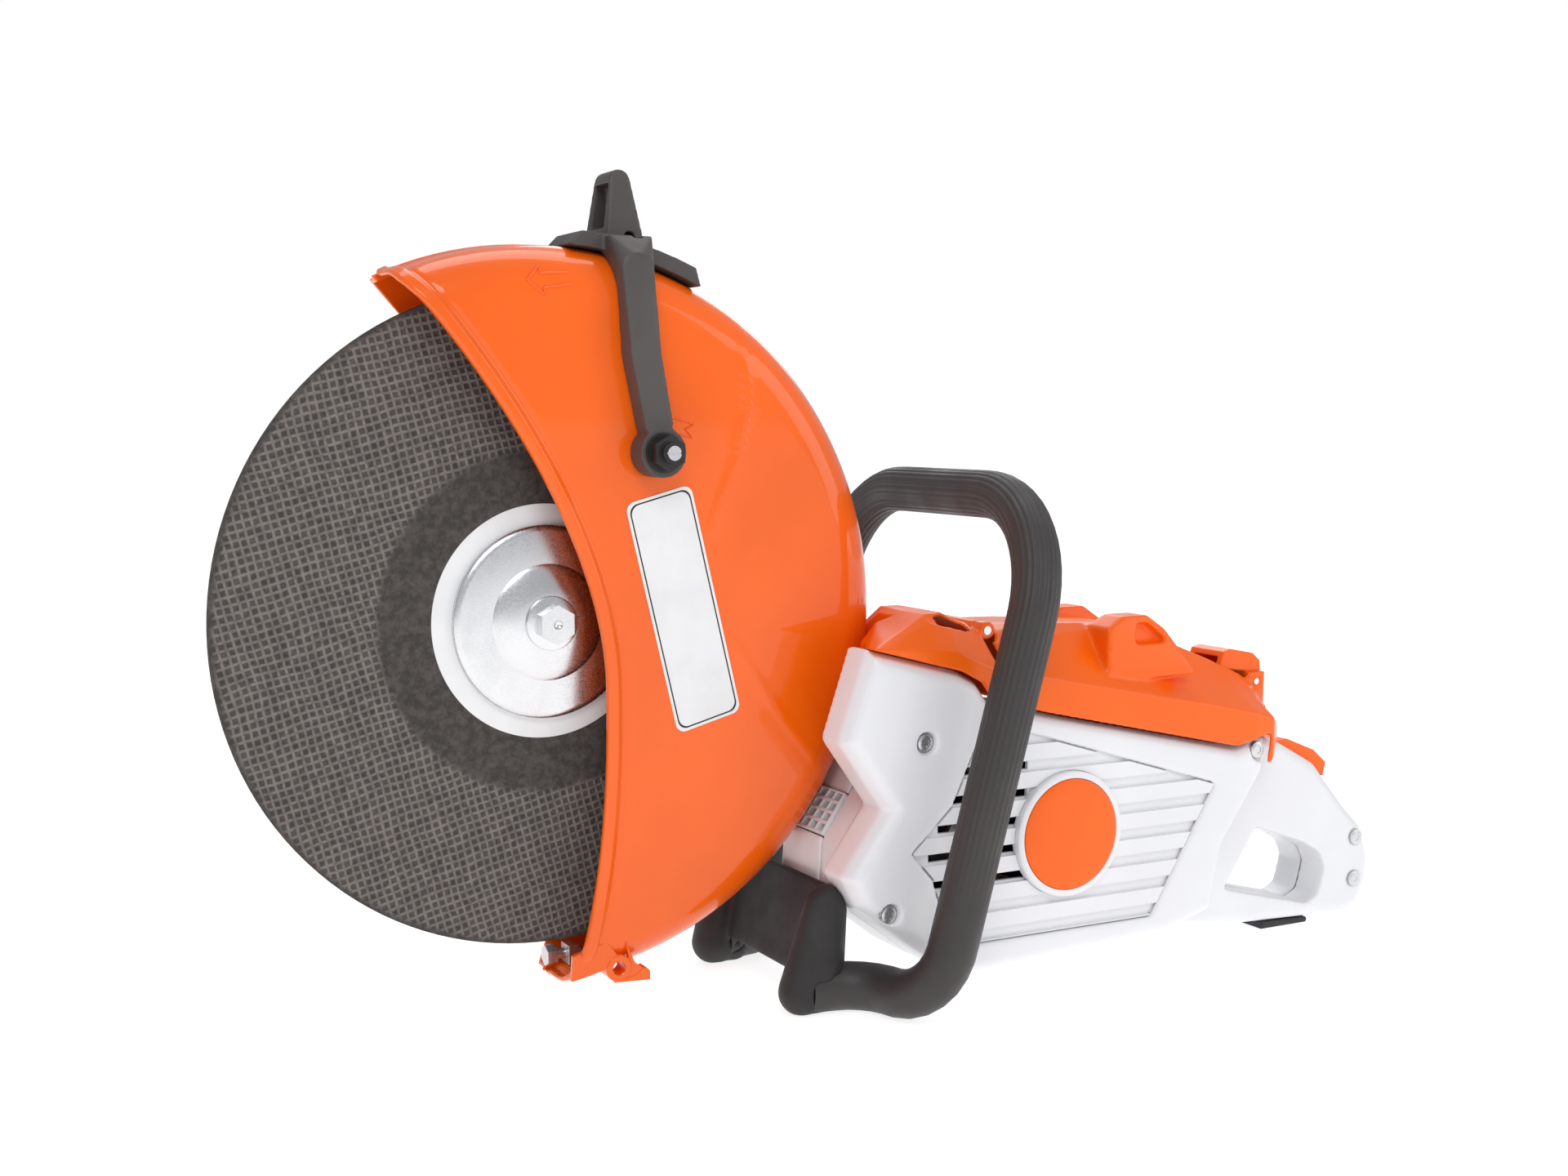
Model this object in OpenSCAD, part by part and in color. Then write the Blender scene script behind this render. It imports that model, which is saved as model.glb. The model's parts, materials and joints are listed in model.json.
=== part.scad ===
// Battery cut-off saw for rescue work, with a guarded wheel driven by a belt.
// X runs to the rear, Y to the operator's right, Z up. The floor is at Z = 0.

/* [Cutting wheel] */
// Diameter of the cutting wheel
wheel_d = 350; // [320:5:370]
// Thickness of the cutting wheel
wheel_t = 4; // [3:0.5:5]
// Bore of the cutting wheel
wheel_bore_d = 20; // [18:0.5:22]
// Diameter of the two clamping flanges
flange_d = 103; // [96:1:110]
// Diameter of the paper label ring
label_d = 125; // [116:1:134]
// Width across the flats of the wheel bolt
bolt_w = 18; // [16:1:20]
// Height of the wheel's axis above the floor
hub_h = 220; // [212:1:232]

/* [Guard] */
// Gap between the wheel's edge and the inside of the guard
rim_gap = 17.5; // [14:0.5:22]
// Thickness of the guard's sheet
guard_wall = 2.5; // [2:0.1:3]
// From the wheel's middle plane to the guard's near face
guard_near = 27; // [26:1:32]
// From the wheel's middle plane to the guard's far face
guard_far = 23; // [22:1:26]
// Rounding between the guard's near face and its rim
guard_edge_r = 25; // [18:1:28]
// Hole in the eyelet at the guard's lower end
eyelet_d = 7.4; // [6:0.2:9]
// Width of the rolled lip along the guard's front edge
lip_w = 7; // [5:0.5:10]

/* [Body] */
// Width of the housing
body_w = 104; // [98:1:112]
// Wall of the housing shells
shell_wall = 3; // [2.4:0.1:3.6]
// Gap between the guard and the housing
body_gap = 5; // [4:0.5:9]
// Width of the rear handle
rear_handle_w = 42; // [38:1:48]
// Length of the battery
battery_l = 120; // [105:1:124]
// Width of the battery
battery_w = 76; // [64:1:84]
// Height of the battery
battery_h = 86; // [70:1:90]
// Diameter of the round badge
badge_d = 65; // [56:1:68]

/* [Front handle] */
// Diameter of the front handle
tube_d = 27; // [24:0.5:30]
// From the housing's near side to the middle of the near leg
near_leg_gap = 31; // [26:1:38]
// From the belt cover to the middle of the far leg
far_leg_gap = 37; // [30:1:44]
// Height of the middle of the top bar
bar_h = 284; // [278:1:300]

/* [Drive] */
// Diameter of the motor's stator
motor_d = 80; // [70:1:82]
// Radius of the belt's seat on the spindle pulley
spindle_pulley_r = 30; // [26:1:32]
// Radius of the belt's seat on the motor pulley
motor_pulley_r = 15; // [13:1:17]
// Width of the belt
belt_w = 12; // [10:1:13]
// Thickness of the arm plate
arm_t = 6; // [5:0.5:7]

/* [Hidden] */
$fn = 72;

// clearances
seat = 0.3;      // between pieces that are fixed to each other
play = 0.05;     // radial, between a shaft and its hole
cut = 1;         // how far a cutting solid runs past a face

// guard and hub, Y counted from the wheel's middle plane
guard_r = wheel_d / 2 + rim_gap + guard_wall;
seam_y = 13;
seam_lip = 1.6;
hub_boss_r = 36;
arm_y = guard_far + 3;
edge_top = [-86, 180];
edge_mid = [24, -30];

// housing, in a frame that starts just behind the guard
body_far = guard_far - 1;
body_mid = body_far - body_w / 2;
body_near = body_mid - body_w / 2;
lobe_depth = 32;
side_bevel = 9;
handle_half = rear_handle_w / 2;

// drive line
motor_x = 28;
motor_z = 125;
motor_near = body_mid - 18;
motor_far = body_far - 20;
shaft_r = 6;
spindle_r = 8;
belt_t = 3;
pulley_y = arm_y + arm_t + 5;
pulley_w = belt_w + 4;
flange_rim = 2;
cover_far = pulley_y + pulley_w + 8;

// overall reach, which places the origin at the middle of the floor plan; the front point is the place
// of the housing that is nearest to the guard
handle_end = 361;
near_leg_y = body_near - near_leg_gap;
far_leg_y = cover_far + far_leg_gap;
front_point = [-40, 100];
hub_z = hub_h;
reach = sqrt(pow(guard_r + body_gap, 2) - pow(hub_z - front_point[1], 2)) - front_point[0];
hub_x = (wheel_d / 2 - reach - handle_end) / 2;
hub_y = (-near_leg_y - far_leg_y) / 2;
body_x = hub_x + reach;
arm_dx = body_x + motor_x - hub_x;
arm_dz = motor_z - hub_z;
arm_l = norm([arm_dx, arm_dz]);
arm_angle = atan2(arm_dz, arm_dx);

// side outlines [x, z], counter-clockwise: near lobe, core beside the guard, rear handle and its loop
rear_edge = [[16, 14], [164, 20], [200, 30], [208, 70], [237, 113], [240, 136.5]];
top_edge = [[213, 130.5], [72, 161.5], [34, 171], [26, 182], [13, 189]];
lobe_outline = concat([[-50, 62]], rear_edge, top_edge, [[-44, 204], [-61, 154], [-33, 115], [-59, 80]]);
core_outline = concat([[-48, 63]], rear_edge, top_edge, [[3, 198], [-3, 160], [-28, 117], [-46, 91]]);
handle_outline = [[190, 14], [240, 7], [340, 3], [353, 8], [360, 24], [handle_end, 40], [353, 62], [337, 77],
                  [310, 107], [280, 123], [252, 135], [240, 136], [225, 128], [196, 100]];
loop_outline = [[234, 33], [305, 15], [314, 20], [319, 38], [314, 48], [300, 56], [259, 70]];
window_outline = [[8, 34], [150, 34], [196, 110], [60, 151], [28, 158], [8, 114], [-18, 90], [-4, 74]];

// battery bay, turned to follow the sloping top
bay_at = [84, 157];
bay_turn = 12.2;
bay_gap = 0.8;
tray_wall = 2;
block_h = 8;

// hinges and levers [x, z] in the housing's frame
flap_axis = [44, 208];
flap_pin_r = 2.5;
knuckle_r = 5;
latch_axis = [256, 163.5];
latch_pin_r = 2;
latch_w = 30;
trigger_axis = [240, 74];
trigger_w = 17;
lockout_axis = [268, 115];
lockout_w = 24;
lever_pin_r = 2;
grip_wall = 3;

// bought-in parts
screw_head_r = 5;
screw_head_h = 3;
screw_r = 2.2;
nozzle_at = [52, 89];
eyelet_at = [30.5, 7 - guard_r];
panel_t = 2.5;
slat_pitch = 15.7;
slat_h = 9;

function unit(v) = v / norm(v);

function bezier(a, b, c, d, t) =
    pow(1 - t, 3) * a + 3 * t * pow(1 - t, 2) * b + 3 * t * t * (1 - t) * c + t * t * t * d;

// an outline moved inwards by d
function inset(p, d) = let (n = len(p)) [
    for (i = [0 : n - 1])
        let (u = unit(p[i] - p[(i + n - 1) % n]), v = unit(p[(i + 1) % n] - p[i]))
        let (a = [-u[1], u[0]], b = [-v[1], v[0]])
        p[i] + d * (a + b) / (1 + a * b)
];

// a rounded corner of a path, starting and ending d from the corner b
function bend(a, b, c, d, n) =
    let (s = b + d * unit(a - b), e = b + d * unit(c - b))
    [for (i = [0 : n]) bezier(s, s + 0.55 * (b - s), e + 0.55 * (b - e), e, i / n)];

function tangents(p) = [
    for (i = [0 : len(p) - 1]) unit(p[min(i + 1, len(p) - 1)] - p[max(i - 1, 0)])
];

// a side vector carried along the path without twisting
function carried(t, i, u) =
    i == len(t) ? [] : let (w = unit(u - (u * t[i]) * t[i])) concat([w], carried(t, i + 1, w));

// faces that join rings of n points: one order for lofts along Y, the other for tubes and lofts along X
function ring_faces(rings, n) = [
    for (i = [0 : rings - 2], k = [0 : n - 1])
        [i * n + k, i * n + (k + 1) % n, (i + 1) * n + (k + 1) % n, (i + 1) * n + k]
];
function turned(faces) = [for (f = faces) [for (k = [len(f) - 1 : -1 : 0]) f[k]]];
function cap(first, n) = [[for (k = [0 : n - 1]) first + k]];
function fan(first, n, middle) = [for (k = [0 : n - 1]) [first + k, first + (k + 1) % n, middle]];

module at_hub() {
    translate([hub_x, hub_y, hub_z]) children();
}

module at_body() {
    translate([body_x, hub_y, 0]) children();
}

// on the line from the spindle to the motor
module along_arm() {
    at_hub() rotate([0, -arm_angle, 0]) children();
}

// in the battery's own frame, whose origin is its upper front corner
module in_bay() {
    at_body() translate([bay_at[0], body_mid, bay_at[1]]) rotate([0, bay_turn, 0]) children();
}

// round bar along Y
module bar(r, from, to, x = 0, z = 0) {
    translate([x, from, z]) rotate([-90, 0, 0]) cylinder(r = r, h = to - from);
}

// hexagonal bar along Y
module hex_bar(w, from, to, x = 0, z = 0) {
    translate([x, from, z]) rotate([-90, 30, 0]) cylinder(d = w / cos(30), h = to - from, $fn = 6);
}

module tube_y(r, bore, from, to, x = 0, z = 0) {
    difference() {
        bar(r, from, to, x, z);
        bar(bore, from - cut, to + cut, x, z);
    }
}

module block(low, high) {
    translate(low) cube(high - low);
}

// side outline made thick along Y
module slab(p, from, to) {
    translate([0, to, 0]) rotate([90, 0, 0]) linear_extrude(to - from) polygon(p);
}

// rings of [y, outline], in rising y; every edge can be seen from the centre
module loft_y(rings, centre) {
    n = len(rings[0][1]);
    m = len(rings);
    ends = [for (r = [rings[0], rings[m - 1]]) [centre[0], r[0], centre[1]]];
    points = concat([for (r = rings, p = r[1]) [p[0], r[0], p[1]]], ends);
    polyhedron(points, concat(turned(fan(0, n, m * n)), ring_faces(m, n), fan((m - 1) * n, n, m * n + 1)));
}

// rings of [x, outline of y and z, centre], in rising x
module loft_x(rings) {
    n = len(rings[0][1]);
    m = len(rings);
    ends = [for (r = [rings[0], rings[m - 1]]) [r[0], r[2][0], r[2][1]]];
    points = concat([for (r = rings, p = r[1]) [r[0], p[0], p[1]]], ends);
    polyhedron(points, concat(fan(0, n, m * n), turned(ring_faces(m, n)), turned(fan((m - 1) * n, n, m * n + 1))));
}

// round tube swept along a path
module swept(path, r, sides) {
    t = tangents(path);
    u = carried(t, 0, [0, 0, 1]);
    m = len(path);
    points = [
        for (i = [0 : m - 1], k = [0 : sides - 1])
            let (a = 360 * k / sides)
            path[i] + r * (cos(a) * u[i] + sin(a) * cross(t[i], u[i]))
    ];
    polyhedron(points, concat(cap(0, sides), turned(ring_faces(m, sides)), turned(cap((m - 1) * sides, sides))));
}

// hollow tube swept along a path
module swept_sleeve(path, r, bore, sides) {
    t = tangents(path);
    u = carried(t, 0, [0, 0, 1]);
    m = len(path);
    function ring(i, size) = [
        for (k = [0 : sides - 1])
            let (a = 360 * k / sides)
            path[i] + size * (cos(a) * u[i] + sin(a) * cross(t[i], u[i]))
    ];
    outer = turned(ring_faces(m, sides));
    inner = [for (f = ring_faces(m, sides)) [for (k = f) k + m * sides]];
    last = (m - 1) * sides;
    ends = [
        for (k = [0 : sides - 1])
            let (j = (k + 1) % sides)
            for (f = [[k, j, m * sides + j, m * sides + k],
                      [last + j, last + k, m * sides + last + k, m * sides + last + j]]) f
    ];
    points = concat([for (i = [0 : m - 1]) each ring(i, r)], [for (i = [0 : m - 1]) each ring(i, bore)]);
    polyhedron(points, concat(outer, inner, ends));
}

// two circles joined by their outer tangents, seen along Y
module belt_line(a, b, from, to) {
    lean = acos((a - b) / arm_l);
    side = [[a * cos(lean), a * sin(lean)], [arm_l + b * cos(lean), b * sin(lean)]];
    bar(a, from, to);
    bar(b, from, to, arm_l);
    slab([[side[0][0], -side[0][1]], [side[1][0], -side[1][1]], side[1], side[0]], from, to);
}

// ---------- wheel and spindle ----------

face_y = wheel_t / 2;
label_t = 0.3;
inner_flange_t = 7;
dome_top = 9.5;
washer_t = 2;
bolt_h = 8;
bolt_r = 6;
washer_y = face_y + label_t + dome_top;

module cutting_wheel() {
    color([0.36, 0.33, 0.31]) at_hub() tube_y(wheel_d / 2, wheel_bore_d / 2, -face_y, face_y);
}

module wheel_label() {
    color("white") at_hub() tube_y(label_d / 2, 30, -face_y - label_t, -face_y);
}

module outer_flange() {
    r = flange_d / 2;
    color([0.8, 0.8, 0.8]) at_hub() translate([0, -face_y - label_t, 0]) rotate([90, 0, 0])
        rotate_extrude() polygon([
            [bolt_r + play, 2], [36, 2], [38, 0], [r, 0], [r, 3.4], [r - 1.6, 4.8], [30, 5.2],
            [24, 7.4], [18, 8.9], [12, dome_top], [bolt_r + play, dome_top]
        ]);
}

module wheel_washer() {
    color([0.75, 0.75, 0.76]) at_hub() tube_y(14.4, bolt_r + play, -washer_y - washer_t, -washer_y);
}

module wheel_bolt() {
    top = -washer_y - washer_t;
    color([0.78, 0.78, 0.8]) at_hub() difference() {
        union() {
            hex_bar(bolt_w, top - bolt_h, top);
            bar(bolt_r, top - cut, 18);
        }
        translate([0, top - bolt_h - 1.5, 0]) sphere(r = 3);
    }
}

module inner_flange() {
    color([0.7, 0.7, 0.72]) at_hub() tube_y(flange_d / 2, wheel_bore_d / 2, face_y, face_y + inner_flange_t);
}

module spindle() {
    color([0.6, 0.6, 0.62]) at_hub() difference() {
        union() {
            bar(wheel_bore_d / 2 - play, -face_y, face_y + inner_flange_t);
            bar(13, face_y + inner_flange_t, 14);
            bar(spindle_r, 14 - cut, pulley_y + pulley_w + 5);
        }
        bar(bolt_r, -face_y - cut, 22);
    }
}

module spindle_pulley() {
    color([0.55, 0.56, 0.58]) at_hub() difference() {
        union() {
            bar(spindle_pulley_r, pulley_y, pulley_y + pulley_w);
            bar(spindle_pulley_r + flange_rim, pulley_y, pulley_y + 1.5);
            bar(spindle_pulley_r + flange_rim, pulley_y + pulley_w - 1.5, pulley_y + pulley_w);
        }
        bar(spindle_r, pulley_y - cut, pulley_y + pulley_w + cut);
    }
}

module spindle_nut() {
    color([0.6, 0.6, 0.62]) at_hub() difference() {
        hex_bar(19, pulley_y + pulley_w, pulley_y + pulley_w + 4.5);
        bar(spindle_r, pulley_y, cover_far);
    }
}

module spindle_bearings() {
    color([0.5, 0.5, 0.52]) at_hub() {
        tube_y(20, spindle_r + play, 15.5, 24.5);
        tube_y(20, spindle_r + play, 25.5, 34.5);
    }
}

// ---------- guard ----------

// half section of the guard's outside or hollow: radius against Y
function rim_section(r, near, far, round) = concat(
    [[0, -near]],
    [for (i = [0 : 10]) [r - round + round * sin(9 * i), round - near - round * cos(9 * i)]],
    [[r, far], [0, far]]
);

module rim_solid(grow, far) {
    rotate([-90, 0, 0]) rotate_extrude() polygon(rim_section(guard_r + grow, guard_near + grow, far, guard_edge_r));
}

// shell of revolution between two offsets from the guard's outside
module rim_shell(outer, inner, far) {
    rotate([-90, 0, 0]) rotate_extrude() difference() {
        polygon(rim_section(guard_r + outer, guard_near + outer, far, guard_edge_r + outer));
        polygon(rim_section(guard_r + inner, guard_near + inner, far + cut, guard_edge_r + inner));
    }
}

// front edge of the guard, from the top down
edge_low = [1, -guard_r - 4];
front_edge = concat(
    [for (i = [0 : 7]) bezier(edge_top, [-20, 110], [22, 30], edge_mid, i / 8)],
    [for (i = [0 : 6]) bezier(edge_mid, [25, -90], [20, -150], edge_low, i / 6)]
);
edge_start = edge_top * 1.04;
cover_reach = guard_r + 20;

function covered() = concat(
    [edge_start], front_edge, [[cover_reach, -cover_reach], [cover_reach, cover_reach], [edge_start[0], cover_reach]]
);
function lip_band() = concat(
    [edge_start - [12, 0]], [for (p = front_edge) p - [12, 0]],
    [for (i = [len(front_edge) - 1 : -1 : 0]) front_edge[i] + [lip_w, 0]],
    [edge_start + [lip_w, 2]]
);

module eyelet() {
    bar(7.5, -guard_near, -guard_near + 9, eyelet_at[0], eyelet_at[1]);
    translate([0, 0, -guard_r]) {
        slab([[4, 17], [24, 23], [30, 14], [30, 9], [14, 5], [3, 3]], -guard_near + 0.5, -guard_near + 4);
        slab([[34, 23], [40, 9], [49, 2], [49, -2], [28, -1], [30, 14]], -guard_near + 0.5, -guard_near + 4);
        slab([[46, 6], [49, 3], [49, -2], [30, -1], [30, 2.5]], -guard_near + 0.3, -guard_near + 8);
    }
}

module guard_shell() {
    color([0.98, 0.42, 0.12]) at_hub() difference() {
        union() {
            intersection() {
                union() {
                    rim_shell(0, -guard_wall, seam_y);
                    tube_y(guard_r + seam_lip, guard_r - 1, seam_y - 2.5, seam_y);
                    intersection() {
                        rim_shell(2.2, -1, seam_y - 0.5);
                        slab(lip_band(), -guard_near - 4, seam_y + cut);
                    }
                }
                slab(covered(), -guard_near - 5, seam_y + 2);
            }
            eyelet();
        }
        bar(eyelet_d / 2, -guard_near - 6, -guard_near + 12, eyelet_at[0], eyelet_at[1]);
        bar(2.6, -guard_near - cut, -guard_near + 4, nozzle_at[0], nozzle_at[1]);
    }
}

module guard_back() {
    edge = seam_y + seat;
    color([0.93, 0.38, 0.1]) at_hub() difference() {
        union() {
            intersection() {
                difference() {
                    union() {
                        bar(guard_r, edge, guard_far);
                        bar(guard_r + seam_lip, edge, edge + 2.5);
                    }
                    bar(guard_r - guard_wall, edge - cut, guard_far - guard_wall);
                }
                union() {
                    slab(covered(), 0, guard_far + cut);
                    bar(62, 0, guard_far + cut);
                }
            }
            bar(50, guard_far - 5.5, guard_far + 2.6);
        }
        bar(hub_boss_r + play, 0, guard_far + 4);
    }
}

module guard_ring() {
    color([0.3, 0.3, 0.32]) at_hub() tube_y(44, 22, guard_far - 9, guard_far - 6);
}

// saddle that sits on the rim between two angles
function rim_arc(r, from, to, n) = [for (i = [0 : n]) r * [cos(from + (to - from) * i / n), sin(from + (to - from) * i / n)]];

module adjusting_handle() {
    color([0.33, 0.31, 0.3]) at_hub() difference() {
        union() {
            slab(concat(rim_arc(guard_r, 64, 87, 6), turned([rim_arc(guard_r + 8, 66, 85, 6)])[0]), -18, 18);
            hull() {
                block([33, -14, guard_r + 2], [54, 17, guard_r + 4]);
                block([37, -8, guard_r + 30], [49, 13, guard_r + 32]);
                translate([43, -8, guard_r + 34]) rotate([-90, 0, 0]) cylinder(r = 6, h = 20, $fn = 24);
            }
            hull() {
                block([30, -24, guard_r], [54, -10, guard_r + 5]);
                bar(9, -36, -20, 41, guard_r - 14, $fn = 24);
            }
            hull() {
                bar(9, -36, -21, 41, guard_r - 14, $fn = 24);
                bar(8.5, -41, -guard_near, 43, 140, $fn = 24);
            }
            hull() {
                bar(8.5, -41, -guard_near, 43, 140, $fn = 24);
                bar(8, -41, -guard_near, 50, 104, $fn = 24);
            }
            bar(13, -42, -guard_near, nozzle_at[0], nozzle_at[1]);
        }
        rim_solid(seat, seam_y + 10);
        bar(guard_r + seam_lip + seat, seam_y - 2.8, seam_y + 3.2);
        block([30, -7, guard_r + 10], [44, 11, guard_r + 33]);
        bar(3, -25, -5, 46, guard_r + 5);
        bar(2.6, -43, -20, nozzle_at[0], nozzle_at[1]);
        rotate([0, 22, 0]) bar_z(2.6, guard_r - 6, guard_r + 12);
    }
}

// round bar along Z
module bar_z(r, from, to, x = 0, y = 0) {
    translate([x, y, from]) cylinder(r = r, h = to - from);
}

module saddle_screw() {
    color([0.8, 0.8, 0.82]) at_hub() rotate([0, 22, 0]) {
        bar_z(5.6, guard_r + 8, guard_r + 11);
        bar_z(2.5, guard_r + seat, guard_r + 9);
    }
}

module water_nozzle() {
    color([0.1, 0.1, 0.1]) at_hub() difference() {
        union() {
            bar(10.4, -43.5, -42, nozzle_at[0], nozzle_at[1]);
            hex_bar(16.5, -50, -43, nozzle_at[0], nozzle_at[1]);
            bar(5.4, -53, -49, nozzle_at[0], nozzle_at[1]);
        }
        bar(2.6, -60, -40, nozzle_at[0], nozzle_at[1]);
    }
}

module nozzle_screw() {
    color([0.8, 0.8, 0.82]) at_hub() difference() {
        union() {
            bar(3.8, -55, -53, nozzle_at[0], nozzle_at[1]);
            bar(2.5, -54, -25, nozzle_at[0], nozzle_at[1]);
        }
        block([nozzle_at[0] - 5, -56, nozzle_at[1] - 0.5], [nozzle_at[0] + 5, -54, nozzle_at[1] + 0.5]);
    }
}

// stop bolt across the open lower end of the guard
module stop_bolt() {
    z = -guard_r + guard_wall + 7.2;
    color([0.8, 0.8, 0.82]) at_hub() translate([0, 6, z]) {
        rotate([0, 90, 0]) cylinder(d = 12, h = 6, $fn = 6);
        translate([5, 0, 0]) rotate([0, 90, 0]) cylinder(r = 3, h = 16);
        translate([12, -6, -5.9]) cube([6, 12, 11]);
    }
}

plate_outline = [[36, 62], [74, 72], [104, -52], [66, -62]];

module guard_plate() {
    color("white") at_hub() slab(plate_outline, -guard_near - 0.5, -guard_near);
}

// ---------- housing ----------

core_centre = [76, 76];
grip_centre = [290, 60];

// distance from the middle plane and how far the outline has moved inwards there
function side_layers(wall, open) = [
    [-open, wall], [20, wall], [24, wall], [body_w / 2 - side_bevel, wall],
    [body_w / 2 - 3 - wall * 0.5, wall + side_bevel * 0.35], [body_w / 2 - wall, wall + side_bevel * 0.8]
];

// near half: the lobe beside the guard starts 20 mm from the middle plane
module near_core(wall, open) {
    layers = side_layers(wall, open);
    loft_y([
        for (i = [len(layers) - 1 : -1 : 0])
            [body_mid - layers[i][0], inset(i >= 2 ? lobe_outline : core_outline, layers[i][1])]
    ], core_centre);
}

module far_core(wall, open) {
    layers = side_layers(wall, open);
    loft_y([for (i = [0, 3, 4, 5]) [body_mid + layers[i][0], inset(core_outline, layers[i][1])]], core_centre);
}

function grip_layers(wall, open) = [
    [-open, wall], [handle_half - 8, wall], [handle_half - 2.5 - wall * 0.5, wall + 2.5], [handle_half - wall, wall + 7]
];

module near_grip(wall, open) {
    layers = grip_layers(wall, open);
    loft_y([
        for (i = [len(layers) - 1 : -1 : 0]) [body_mid - layers[i][0], inset(handle_outline, layers[i][1])]
    ], grip_centre);
}

module far_grip(wall, open) {
    loft_y([for (s = grip_layers(wall, open)) [body_mid + s[0], inset(handle_outline, s[1])]], grip_centre);
}

// screws [x, z]: the first holds the lobe only, the others reach the far half
screw_spots = [[-9, 151], [-31, 57], [231, 127]];
screw_ends = [body_mid - 31, body_mid + 14, body_mid + 14];
handle_spots = [[345, 55], [345, 27]];
pocket_depth = 6;

// bosses that hold the levers' pins: x, z and distance from the middle plane
lever_seats = [
    [trigger_axis[0], trigger_axis[1], trigger_w / 2 + 0.6],
    [lockout_axis[0], lockout_axis[1], lockout_w / 2 + 0.6]
];
pin_half = handle_half - 4;

module near_bosses() {
    for (i = [0 : 2])
        bar(5, body_near + pocket_depth, min(body_mid, screw_ends[i] + 3), screw_spots[i][0], screw_spots[i][1]);
    for (p = handle_spots) bar(4.6, body_mid - handle_half + 1, body_mid, p[0], p[1]);
    for (l = lever_seats) bar(5, body_mid - handle_half + 1, body_mid - l[2], l[0], l[1]);
    intersection() {
        near_core(0.4, 0);
        for (p = screw_spots) bar(9, body_near - cut, body_near + pocket_depth + 3, p[0], p[1]);
    }
}

module far_bosses() {
    for (i = [1 : 2]) bar(5, body_mid, screw_ends[i] + 3, screw_spots[i][0], screw_spots[i][1]);
    for (p = handle_spots) bar(4.6, body_mid, body_mid + handle_half - 1, p[0], p[1]);
    for (l = lever_seats) bar(5, body_mid + l[2], body_mid + handle_half - 1, l[0], l[1]);
}

module lever_holes() {
    for (l = lever_seats) bar(lever_pin_r, body_mid - pin_half, body_mid + pin_half, l[0], l[1]);
}

// room for the guard and everything that turns with it
module guard_room() {
    translate([hub_x - body_x, 0, hub_z])
        bar(guard_r + seam_lip + 1.4, -guard_near - 6, body_far + 40);
}

module bay_hole(grow) {
    w = battery_w / 2 + bay_gap + tray_wall + grow;
    front = -bay_gap - tray_wall - grow;
    back = battery_l + bay_gap + tray_wall + grow;
    translate([bay_at[0], body_mid, bay_at[1]]) rotate([0, bay_turn, 0])
        block([front, -w, -20], [back, w, 40]);
}

module lever_pockets() {
    slab([[262, 104], [330, 78], [330, 130], [262, 134]], body_mid - lockout_w / 2 - 0.6, body_mid + lockout_w / 2 + 0.6);
    slab([[230, 30], [236, 33], [262, 68], [262, 80], [232, 84], [214, 60], [214, 36]],
         body_mid - trigger_w / 2 - 0.6, body_mid + trigger_w / 2 + 0.6);
}

module loop_hole() {
    slab(loop_outline, body_mid - body_w, body_mid + body_w);
}

// walls around the loop, so that the handle stays closed where the loop cuts it
module loop_rim(from, to) {
    slab(inset(loop_outline, -grip_wall), from, to);
}

module screw_holes(first, from, to) {
    for (i = [first : 2]) bar(screw_r + play, from, min(to, screw_ends[i] + 1), screw_spots[i][0], screw_spots[i][1]);
    for (p = handle_spots) bar(screw_r + play, from, min(to, body_mid + handle_half - 6), p[0], p[1]);
}

module left_housing() {
    color([0.93, 0.93, 0.94]) at_body() difference() {
        union() {
            difference() {
                union() {
                    near_core(0, 0);
                    near_grip(0, 0);
                }
                near_core(shell_wall, cut);
                near_grip(grip_wall, cut);
            }
            near_bosses();
            loop_rim(body_mid - handle_half + 0.5, body_mid);
        }
        loop_hole();
        guard_room();
        bay_hole(seat);
        lever_holes();
        slab(window_outline, body_near - cut, body_near + shell_wall + cut);
        lever_pockets();
        for (p = screw_spots) bar(screw_head_r + 1.5, body_near - cut, body_near + pocket_depth, p[0], p[1]);
        for (p = handle_spots)
            bar(screw_head_r + 0.8, body_mid - handle_half - cut, body_mid - handle_half + 2, p[0], p[1]);
        screw_holes(0, body_near, body_mid + cut);
    }
}

// the far half starts a seat's width beyond the middle plane
module right_housing() {
    color([0.9, 0.9, 0.91]) at_body() difference() {
        union() {
            difference() {
                union() {
                    far_core(0, 0.7);
                    far_grip(0, 1.5);
                }
                far_core(shell_wall, 2);
                far_grip(grip_wall, 3);
            }
            far_bosses();
            loop_rim(body_mid, body_mid + handle_half - 0.5);
        }
        block([-300, -300, -100], [500, body_mid + seat / 3, 400]);
        loop_hole();
        guard_room();
        bay_hole(seat);
        lever_holes();
        lever_pockets();
        bar(shaft_r + 4, body_mid, body_far + cut, motor_x, motor_z);
        grille_window();
        screw_holes(1, body_mid, body_far);
        for (i = [0 : 5])
            slab([[80, 50 + 11 * i], [180, 50 + 11 * i], [180, 55 + 11 * i], [80, 55 + 11 * i]], body_far - 4, body_far + 1);
    }
}

// front air intake, in the sloping face below the nose
grille_low = [-46, 91];
grille_high = [-28, 117];
grille_lean = atan2(grille_high[0] - grille_low[0], grille_high[1] - grille_low[1]);
grille_l = norm(grille_high - grille_low);
grille_near = body_mid - 12;
grille_far = body_far - 8;

module on_grille() {
    translate([grille_low[0], 0, grille_low[1]]) rotate([0, grille_lean, 0]) children();
}

module grille_window() {
    on_grille() block([-6, body_mid - 1, 2], [8, grille_far, grille_l - 2]);
}

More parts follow.
